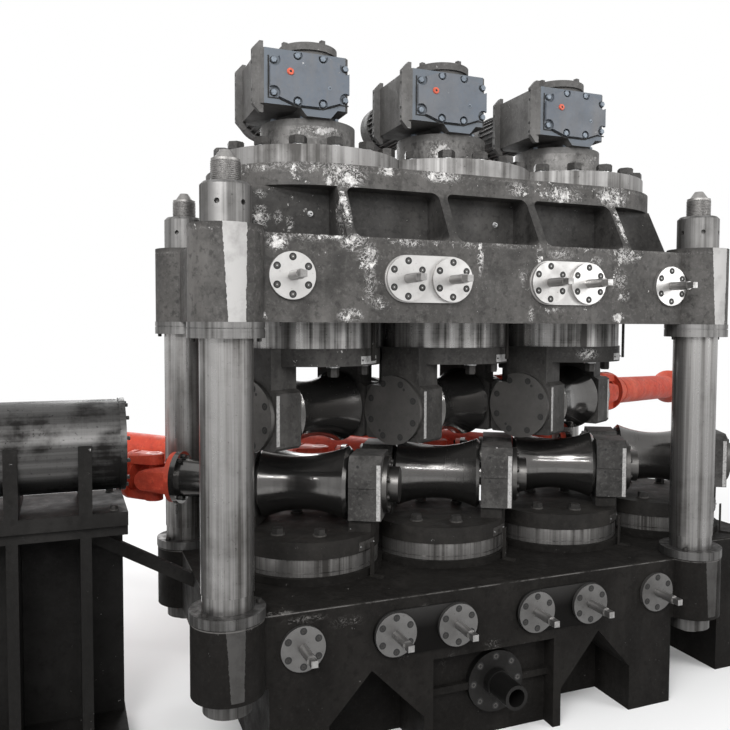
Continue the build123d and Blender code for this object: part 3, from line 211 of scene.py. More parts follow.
def make_painted_casting():
    """Sooty cast surface: mottled paint, dust, flaking white filler, scratches and lumps, with
    painted shade towards the floor.
    """
    tree, given, made = new_group(
        "Painted Casting",
        {
            "Paint": ("Color", grey(0.05)),
            "Dust": ("Color", grey(0.12)),
            "Chip": ("Color", grey(0.6)),
            "Chips": ("Float", 0.5),
            "Edge Height A": ("Float", NO_EDGE),
            "Edge Height B": ("Float", NO_EDGE),
            "Flaked": ("Float", 0.0),
            "Bare": ("Float", 0.0),
            "Bare Color": ("Color", grey(0.6)),
            "Painted Shade": ("Float", 0.0),
            "Mottle": ("Float", 0.55),
            "Edge Line": ("Float", 0.0),
        },
        {"Color": "Color", "Roughness": "Float", "Height": "Float"},
    )
    point = object_point(tree)
    broad = noise(tree, point, 2.2, 3.0)
    middle = noise(tree, point, 11.0, 5.0, 0.65)
    fine = noise(tree, point, 60.0, 5.0, 0.7)
    drips = noise(tree, vectors(tree, "MULTIPLY", point, (9.0, 9.0, 1.3)), 1.0, 4.0)

    # dust lies in broad clouds broken up by drips, with fine pale specks
    cloud = times(tree, ramp(tree, broad, 0.38, 0.66), ramp(tree, drips, 0.35, 0.68))
    dusty = plus(tree, cloud, times(tree, middle, 0.35), clamp=True)
    soft = mix(tree, dusty, given["Paint"], given["Dust"])
    soft = mix(tree, ramp(tree, fine, 0.50, 0.74, 0.0, 0.85), soft, given["Dust"])
    wide = ramp(tree, noise(tree, point, 6.5, 6.0, 0.7), 0.52, 0.68)
    small = ramp(tree, noise(tree, point, 34.0, 4.0, 0.65), 0.52, 0.66)
    dark = times(tree, maths(tree, "MAXIMUM", wide, small), given["Mottle"])
    soft = mix(tree, dark, soft, FADE_BLACK)

    # filler flakes off in a few patches and along the two edge heights
    height = split(tree, point)[2]
    near = [
        ramp(tree, apart(tree, height, given[label]), 0.0, FLAKE_REACH, 0.085, 0.0)
        for label in ("Edge Height A", "Edge Height B")
    ]
    patch = ramp(tree, noise(tree, point, 1.7, 2.0), 0.52, 0.75, 0.0, 0.10)
    lift = times(tree, plus(tree, patch, maths(tree, "MAXIMUM", *near)), given["Chips"])
    lift = maths(tree, "MAXIMUM", lift, given["Flaked"])
    speck = noise(tree, point, 26.0, 7.0, 0.75)
    chip = ramp(tree, plus(tree, speck, lift), 0.67, 0.70)
    curls = noise(tree, point, 17.0, 5.0, 0.7, 2.4)
    curl = ramp(tree, apart(tree, curls, 0.5), 0.010, 0.030, 1.0, 0.0)
    curl = times(tree, curl, ramp(tree, lift, 0.05, 0.16))
    scratch_point = vectors(tree, "MULTIPLY", point, (5.0, 5.0, 42.0))
    scratch = ramp(tree, noise(tree, scratch_point, 1.6, 6.0, 0.8), 0.71, 0.74, 0.0, 0.3)
    flaked = maths(tree, "MAXIMUM", chip, curl)
    marks = maths(tree, "MAXIMUM", flaked, times(tree, scratch, given["Chips"]))
    flake = mix(tree, ramp(tree, fine, 0.35, 0.6, 0.75, 0.0), given["Chip"], given["Dust"])
    color = mix(tree, marks, soft, flake)
    bare = mix(tree, ramp(tree, middle, 0.45, 0.7, 0.0, 0.45), given["Bare Color"], given["Dust"])
    color = mix(tree, given["Bare"], color, bare)

    # a thin worn line along the first edge height
    close = apart(tree, height, given["Edge Height A"])
    line = ramp(tree, close, 0.001, WORN_LINE_W, 1.0, 0.0)
    worn = times(tree, line, ramp(tree, middle, 0.35, 0.55))
    color = mix(tree, times(tree, worn, given["Edge Line"]), color, given["Chip"])

    # painted shade: darker towards the floor
    join(tree, add_painted_shade(tree, point, color, given["Painted Shade"]), made["Color"])
    join(tree, ramp(tree, middle, 0.3, 0.7, 0.5, 0.8), made["Roughness"])
    bumps = plus(tree, times(tree, middle, 0.7), times(tree, fine, 0.3))
    join(tree, maths(tree, "SUBTRACT", bumps, times(tree, marks, 0.25)), made["Height"])
    return tree


def make_worked_steel():
    """Turned or ground steel: streaks along an axis, lathe bands across it, stains and rust, with
    painted shade towards the floor.
    """
    tree, given, made = new_group(
        "Worked Steel",
        {
            "Steel": ("Color", grey(0.45)),
            "Stain": ("Color", grey(0.12, 0.08)),
            "Axis": ("Vector", (0.0, 0.0, 1.0)),
            "Streaks": ("Float", 0.5),
            "Bands": ("Float", 0.2),
            "Stains": ("Float", 0.3),
            "Polish": ("Float", 0.3),
            "Painted Shade": ("Float", 0.0),
        },
        {"Color": "Color", "Roughness": "Float", "Height": "Float"},
    )
    axis = given["Axis"]
    point = object_point(tree)
    along = vectors(tree, "DOT_PRODUCT", point, axis)
    across = vectors(tree, "SUBTRACT", point, vectors(tree, "SCALE", axis, along))

    def stretched(across_scale, along_scale):
        wide = vectors(tree, "SCALE", across, across_scale)
        long = vectors(tree, "SCALE", axis, times(tree, along, along_scale))
        return vectors(tree, "ADD", wide, long)

    streak = noise(tree, stretched(30.0, 0.4), 1.0, 5.0, 0.6)
    band = noise(tree, stretched(1.5, 210.0), 1.0, 3.0, 0.7)
    broad = noise(tree, point, 4.5, 5.0, 0.6)
    fine = noise(tree, point, 85.0, 4.0, 0.7)
    drawn = times(tree, ramp(tree, streak, 0.40, 0.66), given["Streaks"])
    turned = times(tree, ramp(tree, band, 0.5, 0.75), given["Bands"])
    stain = times(tree, ramp(tree, broad, 0.45, 0.72), given["Stains"])
    spots = times(tree, ramp(tree, fine, 0.62, 0.72), given["Stains"])
    cover = plus(tree, plus(tree, plus(tree, drawn, turned), stain), spots, clamp=True)
    color = mix(tree, cover, given["Steel"], given["Stain"])
    # painted shade: darker towards the floor
    join(tree, add_painted_shade(tree, point, color, given["Painted Shade"]), made["Color"])
    rough = plus(tree, given["Polish"], times(tree, cover, 0.35), clamp=True)
    join(tree, rough, made["Roughness"])
    join(tree, plus(tree, times(tree, band, 0.5), times(tree, fine, 0.3)), made["Height"])
    return tree


def make_patch():
    """Soft oval patch: full near its centre and gone at its size."""
    tree, given, made = new_group(
        "Patch",
        {
            "Centre": ("Vector", (0.0, 0.0, 0.0)),
            "Size": ("Vector", (0.1, 0.1, 0.1)),
            "Strength": ("Float", 0.2),
        },
        {"Mask": "Float"},
    )
    offset = vectors(tree, "SUBTRACT", object_point(tree), given["Centre"])
    away = vectors(tree, "LENGTH", vectors(tree, "DIVIDE", offset, given["Size"]))
    full = times(tree, given["Strength"], PATCH_SHARE)
    join(tree, ramp(tree, away, 0.15, 1.0, full, 0.0), made["Mask"])
    return tree


def make_planed_strip():
    """Mask of the strip that was planed on the front of each column boss, narrower lower down."""
    tree, given, made = new_group(
        "Planed Strip",
        {
            "Low": ("Float", 0.0),
            "High": ("Float", 1.0),
            "Half Width Low": ("Float", 0.03),
            "Half Width High": ("Float", 0.05),
            "Shift Low": ("Float", 0.0),
            "Shift High": ("Float", 0.0),
        },
        {"Mask": "Float"},
    )
    point = object_point(tree)
    x, y, z = split(tree, point)
    low, high = given["Low"], given["High"]
    shift = ramp(tree, z, low, high, given["Shift Low"], given["Shift High"])
    half = ramp(tree, z, low, high, given["Half Width Low"], given["Half Width High"])
    away = apart(tree, apart(tree, x, shift), COLUMN_X)
    jitter = maths(tree, "SUBTRACT", noise(tree, point, 70.0), 0.5)
    edge = plus(tree, away, times(tree, jitter, STRIP_WOBBLE))
    inside = maths(tree, "LESS_THAN", edge, half)
    reach = COLUMN_Y + STRIP_DEPTH * BOSS_R
    outer = maths(tree, "GREATER_THAN", maths(tree, "ABSOLUTE", y), reach)
    above = maths(tree, "GREATER_THAN", z, low)
    join(tree, times(tree, times(tree, inside, outer), above), made["Mask"])
    return tree


PAINTED_CASTING = make_painted_casting()
WORKED_STEEL = make_worked_steel()
PATCH = make_patch()
PLANED_STRIP = make_planed_strip()


def new_material(name, metallic):
    """Material with its tree and its shader."""
    material = bpy.data.materials.new(name)
    material.use_nodes = True
    shader = material.node_tree.nodes["Principled BSDF"]
    shader.inputs["Metallic"].default_value = metallic
    return material, material.node_tree, shader


def add_effect(tree, group, settings):
    """Place a shader group in a material, with its own values."""
    effect = tree.nodes.new("ShaderNodeGroup")
    effect.node_tree = group
    for label, value in settings.items():
        effect.inputs[label].default_value = value
    return effect


def surface(name, group, settings, metallic=0.0, bump=0.2, bump_size=0.002, sheen=0.5):
    """Material whose colour, roughness and bump come from a shader group."""
    material, tree, shader = new_material(name, metallic)
    effect = add_effect(tree, group, settings)
    effect.name = "Effect"
    relief = tree.nodes.new("ShaderNodeBump")
    relief.inputs["Strength"].default_value = bump
    relief.inputs["Distance"].default_value = bump_size
    tree.links.new(effect.outputs["Color"], shader.inputs["Base Color"])
    tree.links.new(effect.outputs["Roughness"], shader.inputs["Roughness"])
    tree.links.new(effect.outputs["Height"], relief.inputs["Height"])
    tree.links.new(relief.outputs["Normal"], shader.inputs["Normal"])
    shader.inputs["Specular IOR Level"].default_value = sheen
    return material


def plain(name, color, metallic=0.0, roughness=0.5):
    """Simple finish for small fasteners, a little uneven in tone and gloss."""
    material, tree, shader = new_material(name, metallic)
    uneven = noise(tree, object_point(tree), 90.0, 4.0, 0.7)
    tone = mix(tree, ramp(tree, uneven, 0.4, 0.65), color, darker(color, 0.55))
    gloss = ramp(tree, uneven, 0.3, 0.7, roughness - 0.08, roughness + 0.12)
    join(tree, tone, shader.inputs["Base Color"])
    join(tree, gloss, shader.inputs["Roughness"])
    return material


def casting(name, paint, dust, chips, edges=(NO_EDGE, NO_EDGE), painted_shade=0.0, sheen=0.3,
            metallic=0.0, chip=grey(0.66, 0.02), mottle=0.55):
    """Painted casting of one piece."""
    return surface(name, PAINTED_CASTING, {
        "Paint": paint, "Dust": dust, "Chip": chip, "Chips": chips,
        "Edge Height A": edges[0], "Edge Height B": edges[1], "Painted Shade": painted_shade, "Mottle": mottle,
    }, metallic=metallic, bump=0.6, bump_size=0.004, sheen=sheen)


def steel(name, color, stain, axis, streaks=0.4, bands=0.2, stains=0.3, polish=0.3,
          bump=0.12, painted_shade=0.0):
    """Worked steel of one piece, its streaks along an axis."""
    return surface(name, WORKED_STEEL, {
        "Steel": color, "Stain": stain, "Axis": tuple(axis), "Streaks": streaks,
        "Bands": bands, "Stains": stains, "Polish": polish, "Painted Shade": painted_shade,
    }, metallic=0.9, bump=bump, bump_size=0.0012)


def flake_patches(material, patches):
    """Put flaked places on a casting: {y: [(x, z, (size x, y, z), strength)]}."""
    tree = material.node_tree
    total = 0.0
    for y, spots in patches.items():
        for x, z, size, strength in spots:
            values = {"Centre": (x, y, z), "Size": size, "Strength": strength}
            mask = add_effect(tree, PATCH, values).outputs["Mask"]
            total = maths(tree, "MAXIMUM", mask, total)
    join(tree, total, tree.nodes["Effect"].inputs["Flaked"])


def bare_places(material, mask, color):
    """Another colour on a casting where a mask is 1."""
    effect = material.node_tree.nodes["Effect"]
    join(material.node_tree, mask, effect.inputs["Bare"])
    effect.inputs["Bare Color"].default_value = color


def planed_strip(material, heights, half_widths, shifts, color):
    """Bare strip on the bosses of a casting, each pair of values low and high."""
    strip = add_effect(material.node_tree, PLANED_STRIP, {
        "Low": heights[0], "High": heights[1],
        "Half Width Low": half_widths[0], "Half Width High": half_widths[1],
        "Shift Low": shifts[0], "Shift High": shifts[1],
    })
    bare_places(material, strip.outputs["Mask"], color)


def painted_front(material, front_y, color):
    """Fresh paint on the foremost faces of a casting, ahead of a plane."""
    tree = material.node_tree
    ahead = maths(tree, "LESS_THAN", split(tree, object_point(tree))[1], front_y)
    bare_places(material, ahead, color)


def shaded_band(material, low, high, share):
    """Painted shade between two heights: darker paint and dust, as in the shadowed pockets of a
    casting.
    """
    tree = material.node_tree
    height = split(tree, object_point(tree))[2]
    above = ramp(tree, height, low, low + 0.03)
    below = ramp(tree, height, high - 0.02, high, 1.0, 0.0)
    inside = times(tree, above, below)
    effect = tree.nodes["Effect"]
    for label in ("Paint", "Dust"):
        color = tuple(effect.inputs[label].default_value)
        join(tree, mix(tree, inside, color, darker(color, share)), effect.inputs[label])


def dress(material, *names):
    """Give CAD nodes a material."""
    for name in names:
        NODES[name].data.materials.clear()
        NODES[name].data.materials.append(material)


# Finishes of the castings

FACE_Y = -BAND_Y
RIM_Y = -0.45
POCKET_Y = -0.35
WEB_Y = -0.50
ARCH_Y = -0.55
HEAD_RIM_Y = -0.33
PEDESTAL_Y = -0.19
CROWN_RIM_Z = 2.42
CROWN_SHELF_Z = 2.13
POCKET_TOP_Z = 2.34
BASE_EDGE_Z = 0.685
STAND_EDGES = (0.98, 1.03)
GEAR_FACE_Y = -0.2345

CROWN_PAINT = casting("Top Casting Paint", grey(0.030, 0.06), grey(0.105, 0.05), 0.8,
                      (CROWN_RIM_Z, CROWN_SHELF_Z))
flake_patches(CROWN_PAINT, {
    RIM_Y: [
        (-0.63, 2.39, (0.13, 0.10, 0.08), 0.26), (-0.45, 2.42, (0.10, 0.10, 0.04), 0.15),
        (-0.20, 2.42, (0.14, 0.10, 0.05), 0.21), (0.17, 2.39, (0.09, 0.10, 0.05), 0.19),
        (0.40, 2.38, (0.17, 0.10, 0.06), 0.20), (0.69, 2.39, (0.13, 0.10, 0.08), 0.26),
    ],
    WEB_Y: [
        (-0.65, 2.24, (0.035, 0.11, 0.16), 0.24), (0.69, 2.24, (0.030, 0.11, 0.16), 0.24),
    ],
    FACE_Y: [
        (-0.64, 2.11, (0.08, 0.10, 0.05), 0.24), (-0.58, 2.06, (0.07, 0.08, 0.09), 0.20),
        (-0.57, 1.95, (0.05, 0.08, 0.14), 0.15), (-0.53, 1.88, (0.07, 0.08, 0.05), 0.14),
        (-0.65, 1.83, (0.08, 0.08, 0.04), 0.24), (-1.00, 1.82, (0.03, 0.06, 0.03), 0.20),
        (-0.94, 2.10, (0.06, 0.08, 0.05), 0.26), (-0.74, 2.13, (0.10, 0.06, 0.03), 0.17),
        (-0.41, 2.12, (0.14, 0.06, 0.03), 0.17), (-0.08, 2.07, (0.022, 0.06, 0.11), 0.25),
        (-0.13, 2.12, (0.08, 0.06, 0.025), 0.16), (0.21, 2.10, (0.025, 0.06, 0.07), 0.20),
        (0.32, 2.10, (0.13, 0.06, 0.04), 0.15), (0.66, 2.11, (0.13, 0.08, 0.06), 0.21),
        (0.51, 2.08, (0.06, 0.06, 0.04), 0.15), (0.63, 2.00, (0.08, 0.08, 0.09), 0.16),
        (0.66, 1.93, (0.05, 0.06, 0.05), 0.19), (0.63, 1.83, (0.05, 0.06, 0.035), 0.25),
        (0.13, 2.00, (0.05, 0.05, 0.07), 0.12), (0.30, 1.86, (0.12, 0.05, 0.03), 0.11),
        (0.17, 1.84, (0.03, 0.05, 0.06), 0.16),
    ],
    POCKET_Y: [
        (-0.95, 2.22, (0.06, 0.12, 0.07), 0.22), (-0.95, 2.31, (0.04, 0.12, 0.03), 0.18),
        (-0.88, 2.22, (0.03, 0.10, 0.05), 0.18), (-0.83, 2.20, (0.03, 0.10, 0.05), 0.16),
    ],
})
planed_strip(CROWN_PAINT, (1.80, 2.15), (0.032, 0.045), (0.013, 0.006), grey(0.40, 0.02))
# painted shade over the pockets and rib fronts of the crown
shaded_band(CROWN_PAINT, CROWN_SHELF_Z, POCKET_TOP_Z, 0.5)
dress(CROWN_PAINT, "crown_casting")

# The base's paint and dust are far darker than the crown's: soot and oil, and partly painted shade
# of the machine's dim lower half.
BASE_PAINT = casting("Base Paint", grey(0.006, 0.10), grey(0.026, 0.08), 0.3,
                     (BASE_EDGE_Z, NO_EDGE), 0.5, 0.08, chip=grey(0.24, 0.04))
BASE_PAINT.node_tree.nodes["Effect"].inputs["Edge Line"].default_value = 0.8
flake_patches(BASE_PAINT, {
    FACE_Y: [
        (-0.834, 0.655, (0.15, 0.05, 0.03), 0.16), (-0.66, 0.62, (0.14, 0.06, 0.05), 0.13),
        (-0.32, 0.62, (0.06, 0.06, 0.05), 0.14), (-0.42, 0.45, (0.05, 0.06, 0.04), 0.14),
        (0.0, 0.42, (0.08, 0.08, 0.06), 0.14), (-0.93, 0.69, (0.10, 0.06, 0.02), 0.18),
    ],
    ARCH_Y: [
        (-0.20, 0.36, (0.05, 0.10, 0.14), 0.15),
    ],
})
# The base's planed strip is far darker than the crown's, partly painted shade of the dim lower
# half.
planed_strip(BASE_PAINT, (0.42, 0.69), (0.024, 0.036), (0.009, 0.004), grey(0.11, 0.03))
dress(BASE_PAINT, "base_casting")

dress(casting("Table Paint", grey(0.007, 0.12), grey(0.028, 0.10), 0.15, painted_shade=0.35, sheen=0.2),
      "turntable_plates", "pointers")
dress(casting("Block Paint", grey(0.012, 0.05), grey(0.100, 0.04), 0.15, painted_shade=0.15, sheen=0.25),
      "lower_bearing_blocks")
HEAD_PAINT = casting("Head Paint", grey(0.012, 0.08), grey(0.060, 0.05), 0.25, sheen=0.3)
flake_patches(HEAD_PAINT, {
    HEAD_RIM_Y: [
        (head_x(1) - 0.03, 1.655, (0.09, 0.06, 0.04), 0.24),
    ],
})
dress(HEAD_PAINT, *[f"head_yoke_{n}" for n in (1, 2, 3)])
# Stand paint is set very dark and gets strong painted shade towards the floor, partly to darken its
# lamp-lit top.
dress(casting("Stand Paint", grey(0.008, 0.06), grey(0.024, 0.05), 0.3, STAND_EDGES, 0.6, 0.12),
      "entry_stand", "entry_guide_cradle", "entry_brace")

GEAR_PAINT = casting("Gear Paint", grey(0.045, 0.05), grey(0.125, 0.03), 0.1, sheen=0.4, mottle=0.3)
painted_front(GEAR_PAINT, GEAR_FACE_Y, (0.100, 0.116, 0.136, 1))
dress(GEAR_PAINT, "gear_units")
dress(surface("Gear Cover Paint", PAINTED_CASTING, {
    "Paint": (0.090, 0.109, 0.136, 1), "Dust": (0.120, 0.122, 0.128, 1), "Chips": 0.04,
    "Mottle": 0.10,
}, bump=0.15, sheen=0.45), "gear_covers")
dress(casting("Motor Paint", grey(0.065, 0.02), grey(0.14, 0.02), 0.1), "motors")
dress(casting("Red Shaft Paint", (0.46, 0.034, 0.014, 1), (0.66, 0.100, 0.045, 1), 0.1,
              sheen=0.5, mottle=0.3),
      *[name for name in NODES if name.startswith(("yoke_", "cardan_"))])
PEDESTAL_STEEL = casting("Pedestal Steel", grey(0.040, 0.05), grey(0.20, 0.03), 0.4,
                         metallic=0.7, sheen=0.4, chip=grey(0.42, 0.02))
flake_patches(PEDESTAL_STEEL, {
    PEDESTAL_Y: [
        (head_x(-1) - 0.02, 2.615, (0.20, 0.12, 0.05), 0.19),
        (head_x(0) - 0.10, 2.58, (0.08, 0.12, 0.09), 0.22),
        (head_x(1) + 0.08, 2.61, (0.10, 0.12, 0.05), 0.15),
    ],
})
dress(PEDESTAL_STEEL, "gear_pedestals")

# Finishes of the worked steel: name, tone and warmth of steel and stain, axis, streaks, bands,
# stains, polish, bump, painted shade towards the floor, nodes

for name, tone, stain, axis, *values, nodes in (
    ("Column", (0.36, 0.02), (0.07, 0.06), UP, 1.0, 0.05, 0.4, 0.24, 0.12, 0.4,
     ["column_sleeves"]),
    ("Ring", (0.20, 0.02), (0.04, 0.05), UP, 0.8, 0.1, 0.4, 0.38, 0.12, 0.5, ["column_rings"]),
    ("Nut", (0.21, 0.02), (0.07, 0.04), UP, 0.9, 0.0, 0.4, 0.42, 0.12, 0.5, ["tie_nuts"]),
    ("Rod", (0.32, 0.03), (0.07, 0.06), UP, 0.4, 0.3, 0.4, 0.4, 0.12, 0.5, ["tie_rods"]),
    ("Disc", (0.27, 0.02), (0.13, 0.04), UP, 0.7, 0.0, 0.6, 0.56, 0.12, 0.0, ["crown_covers"]),
    ("Table", (0.36, 0.03), (0.06, 0.06), UP, 0.95, 0.1, 0.4, 0.32, 0.12, 0.35,
     ["turntable_rings"]),
    ("Sleeve", (0.34, 0.02), (0.05, 0.05), UP, 0.9, 0.15, 0.45, 0.22, 0.12, 0.0,
     [f"head_sleeve_{n}" for n in (1, 2, 3)]),
    ("Flange", (0.46, 0.02), (0.20, 0.04), FRONT, 0.15, 0.0, 0.5, 0.38, 0.08, 0.72,
     ["adjuster_flanges"]),
    ("Plate", (0.42, 0.02), (0.20, 0.04), FRONT, 0.1, 0.0, 0.4, 0.45, 0.05, 1.0,
     ["adjuster_plates"]),
    ("Shaft End", (0.32, 0.02), (0.09, 0.04), FRONT, 0.5, 0.1, 0.3, 0.26, 0.12, 0.0,
     ["adjuster_shafts"]),
    ("Lift", (0.034, 0.03), (0.012, 0.04), FRONT, 0.2, 0.0, 0.4, 0.45, 0.12, 0.4,
     ["lift_drive_flange", "lift_drive_shaft"]),
    ("Guide", (0.115, 0.02), (0.012, 0.05), RIGHT, 0.6, 0.1, 1.1, 0.30, 0.12, 0.7,
     ["entry_guide_sleeve"]),
    ("Lower Roll", (0.125, 0.03), (0.035, 0.05), LOWER_DRIVE, 0.15, 0.3, 0.4, 0.10, 0.04, 0.0,
     [f"roll_lower_{n}" for n in (1, 2, 3, 4)]),
    ("Upper Roll", (0.125, 0.03), (0.035, 0.05), UPPER_DRIVE, 0.15, 0.3, 0.4, 0.10, 0.04, 0.0,
     [f"roll_upper_{n}" for n in (1, 2, 3)]),
    ("Lower Cover", (0.085, 0.04), (0.03, 0.05), LOWER_DRIVE, 0.1, 0.05, 0.5, 0.36, 0.12, 0.0,
     ["lower_bearing_covers"]),
    ("Upper Cover", (0.13, 0.04), (0.03, 0.05), UPPER_DRIVE, 0.1, 0.05, 0.5, 0.36, 0.12, 0.0,
     [f"head_covers_{n}" for n in (1, 2, 3)]),
):
    dress(steel(f"{name} Steel", grey(*tone), grey(*stain), axis, *values), *nodes)

# Finishes of the small pieces

BLACK_BOLT = plain("Black Bolt", grey(0.035, 0.06), 0.5, 0.5)
DUSTY_BOLT = plain("Dusty Bolt", grey(0.075, 0.06), 0.4, 0.6)
BRIGHT_BOLT = plain("Bright Bolt", grey(0.42), 0.9, 0.35)
GEAR_BOLT = plain("Gear Bolt", (0.17, 0.20, 0.235, 1), 0.2, 0.45)
PALE_WASHER = plain("Pale Washer", grey(0.50), 0.9, 0.4)
# Painted shade: black stands for the shade inside holes, hex sockets and counterbores
HOLE_SHADE = plain("Painted Hole Shade", grey(0.005), 0.0, 0.7)
SHADOW_LINE = plain("Shadow Line", grey(0.008), 0.0, 0.8)
SCALE_PLATE = plain("Scale Plate", grey(0.62, 0.01), 0.3, 0.4)
DULL_PLATE = plain("Dull Plate", grey(0.06, 0.06), 0.4, 0.5)
ORANGE_PLUG = plain("Orange Plug", (0.62, 0.10, 0.045, 1), 0.0, 0.45)
RED_RING = plain("Red Ring", (0.50, 0.14, 0.10, 1), 0.1, 0.45)
THREAD_STEEL = plain("Thread Steel", grey(0.22, 0.03), 0.8, 0.45)
MACHINED_EDGE = plain("Machined Edge", grey(0.42, 0.02), 0.3, 0.5)

# Materials of a fastener: head, washer, socket
BLACK_ON_PALE = (BLACK_BOLT, PALE_WASHER, HOLE_SHADE)
BLACK_ON_DUSTY = (BLACK_BOLT, DUSTY_BOLT, HOLE_SHADE)
ALL_BLACK = (BLACK_BOLT, BLACK_BOLT, HOLE_SHADE)
ALL_DUSTY = (DUSTY_BOLT, DUSTY_BOLT, HOLE_SHADE)
ALL_GREY = (GEAR_BOLT, GEAR_BOLT, HOLE_SHADE)
# sunk screws: their black washer is the painted shade of the counterbore
BLACK_SUNK = (BLACK_BOLT, HOLE_SHADE, HOLE_SHADE)
DUSTY_SUNK = (DUSTY_BOLT, HOLE_SHADE, HOLE_SHADE)
# open holes: painted shade ringed by painted shadow
OPEN_HOLE = (HOLE_SHADE, SHADOW_LINE, HOLE_SHADE)
BLIND_HOLE = (HOLE_SHADE, HOLE_SHADE, HOLE_SHADE)


# Small fasteners, made by Geometry Nodes and kept as plain meshes

ROUND_SIDES = 20
CREST_SHARE = 0.15
CREST_WIDTH = 0.9
SOCKET_T = 0.0004
TURN_SEED = 4
HEX_TURN = 1.0472
WASHER_REACH = 1.08
WASHER_T = 0.002


def make_bolt_nodes():
    """Geometry Nodes group: a bolt or screw on its washer at every point, along local Z."""
    tree = bpy.data.node_groups.new("Bolts", "GeometryNodeTree")
    tree.interface.new_socket("Geometry", in_out="INPUT", socket_type="NodeSocketGeometry")
    for label, kind in (
        ("Washer Radius", "Float"), ("Washer Height", "Float"),
        ("Head Sides", "Int"), ("Head Radius", "Float"), ("Head Height", "Float"),
        ("Socket Radius", "Float"), ("Turn", "Float"),
        ("Head Material", "Material"), ("Washer Material", "Material"),
        ("Socket Material", "Material"),
    ):
        tree.interface.new_socket(label, in_out="INPUT", socket_type=f"NodeSocket{kind}")
    tree.interface.new_socket("Geometry", in_out="OUTPUT", socket_type="NodeSocketGeometry")
    given = tree.nodes.new("NodeGroupInput").outputs

    def cylinder(sides, radius, depth, base, material):
        size = {"Vertices": sides, "Radius": radius, "Depth": depth}
        body = node(tree, "GeometryNodeMeshCylinder", size, "Mesh")
        middle = plus(tree, base, times(tree, depth, 0.5))
        lift = node(tree, "ShaderNodeCombineXYZ", {2: middle})
        moved = node(tree, "GeometryNodeTransform", {"Geometry": body, "Translation": lift})
        return node(tree, "GeometryNodeSetMaterial", {"Geometry": moved, "Material": material})

    washer_top = given["Washer Height"]
    shank = times(tree, given["Head Height"], 1 - CREST_SHARE)
    crest = times(tree, given["Head Height"], CREST_SHARE)
    crest_radius = times(tree, given["Head Radius"], CREST_WIDTH)
    crest_base = plus(tree, washer_top, shank)
    top = plus(tree, washer_top, given["Head Height"])
    deep = maths(tree, "GREATER_THAN", given["Socket Radius"], 0.0)
    # the hex socket is a thin black disc on the head: painted shade
    hollow = cylinder(6, given["Socket Radius"], SOCKET_T, top, given["Socket Material"])
    either = {"Switch": deep, "True": hollow}
    socket = node(tree, "GeometryNodeSwitch", either, input_type="GEOMETRY")
    sides, head_material = given["Head Sides"], given["Head Material"]
    solids = tree.nodes.new("GeometryNodeJoinGeometry")
    for solid in (
        cylinder(ROUND_SIDES, given["Washer Radius"], washer_top, 0.0, given["Washer Material"]),
        cylinder(sides, given["Head Radius"], shank, washer_top, head_material),
        cylinder(sides, crest_radius, crest, crest_base, head_material),
        socket,
    ):
        tree.links.new(solid, solids.inputs[0])

    most = node(tree, "ShaderNodeCombineXYZ", {2: given["Turn"]})
    limits = {"Max": most, "Seed": TURN_SEED}
    chance = node(tree, "FunctionNodeRandomValue", limits, data_type="FLOAT_VECTOR")
    placed = node(tree, "GeometryNodeInstanceOnPoints", {
        "Points": given["Geometry"], "Instance": solids.outputs[0], "Rotation": chance,
    })
    real = node(tree, "GeometryNodeRealizeInstances", {0: placed})
    join(tree, real, tree.nodes.new("NodeGroupOutput").inputs[0])
    return tree


BOLTS = make_bolt_nodes()


def fastener(head, washer=None, sides=6, socket=0.0, materials=BLACK_ON_PALE):
    """One kind of fastener. head and washer are (radius, height)."""
    washer = washer or (head[0] * WASHER_REACH, WASHER_T)
    return {
        "Washer Radius": washer[0], "Washer Height": washer[1],
        "Head Sides": sides, "Head Radius": head[0], "Head Height": head[1],
        "Socket Radius": socket, "Turn": HEX_TURN,
        "Head Material": materials[0], "Washer Material": materials[1],
        "Socket Material": materials[2],
    }


DISC_BOLT = fastener((0.0375, 0.032), (0.028, 0.006))
GEAR_FLANGE_BOLT = fastener((0.014, 0.012), materials=ALL_GREY)
# cover bolts stand on dark rings of painted shadow, as they sit in pockets
GEAR_COVER_BOLT = fastener((0.013, 0.010), (0.0155, 0.002),
                           materials=(GEAR_BOLT, SHADOW_LINE, HOLE_SHADE))
OIL_PLUG = fastener((0.0135, 0.005), (0.015, 0.001), 24, 0.0055,
                    (ORANGE_PLUG, ORANGE_PLUG, HOLE_SHADE))
SMALL_PLUG = fastener((0.006, 0.002), (0.0085, 0.001), 16, 0.0035, ALL_GREY)
STRIP_HOLE = fastener((0.0055, 0.0006), (0.0065, 0.0004), 12, materials=OPEN_HOLE)
CAP_SCREW = fastener((0.009, 0.007), sides=12, socket=0.0045, materials=ALL_DUSTY)
BREATHER = fastener((0.016, 0.014), (0.020, 0.004), 12, materials=ALL_DUSTY)
COWL_SLOT = fastener((0.0075, 0.0006), (0.009, 0.0004), 12, materials=OPEN_HOLE)
BOX_SCREW = fastener((0.006, 0.004), sides=12, socket=0.003,
                     materials=(BRIGHT_BOLT, BRIGHT_BOLT, HOLE_SHADE))
UPPER_SETTER_SCREW = fastener((0.0085, 0.0006), (0.0145, 0.0005), 16, 0.0028,
                              (DUSTY_BOLT, HOLE_SHADE, PALE_WASHER))
LOWER_SETTER_SCREW = fastener((0.0085, 0.0006), (0.0145, 0.0005), 16, 0.0028, BLACK_SUNK)
LIFT_SCREW = fastener((0.011, 0.0006), (0.0165, 0.0005), 16, 0.006, DUSTY_SUNK)
TABLE_BOLT = fastener((0.027, 0.024), (0.031, 0.005), materials=BLACK_ON_DUSTY)
TABLE_RIVET = fastener((0.004, 0.002), sides=12, materials=(PALE_WASHER, PALE_WASHER, HOLE_SHADE))
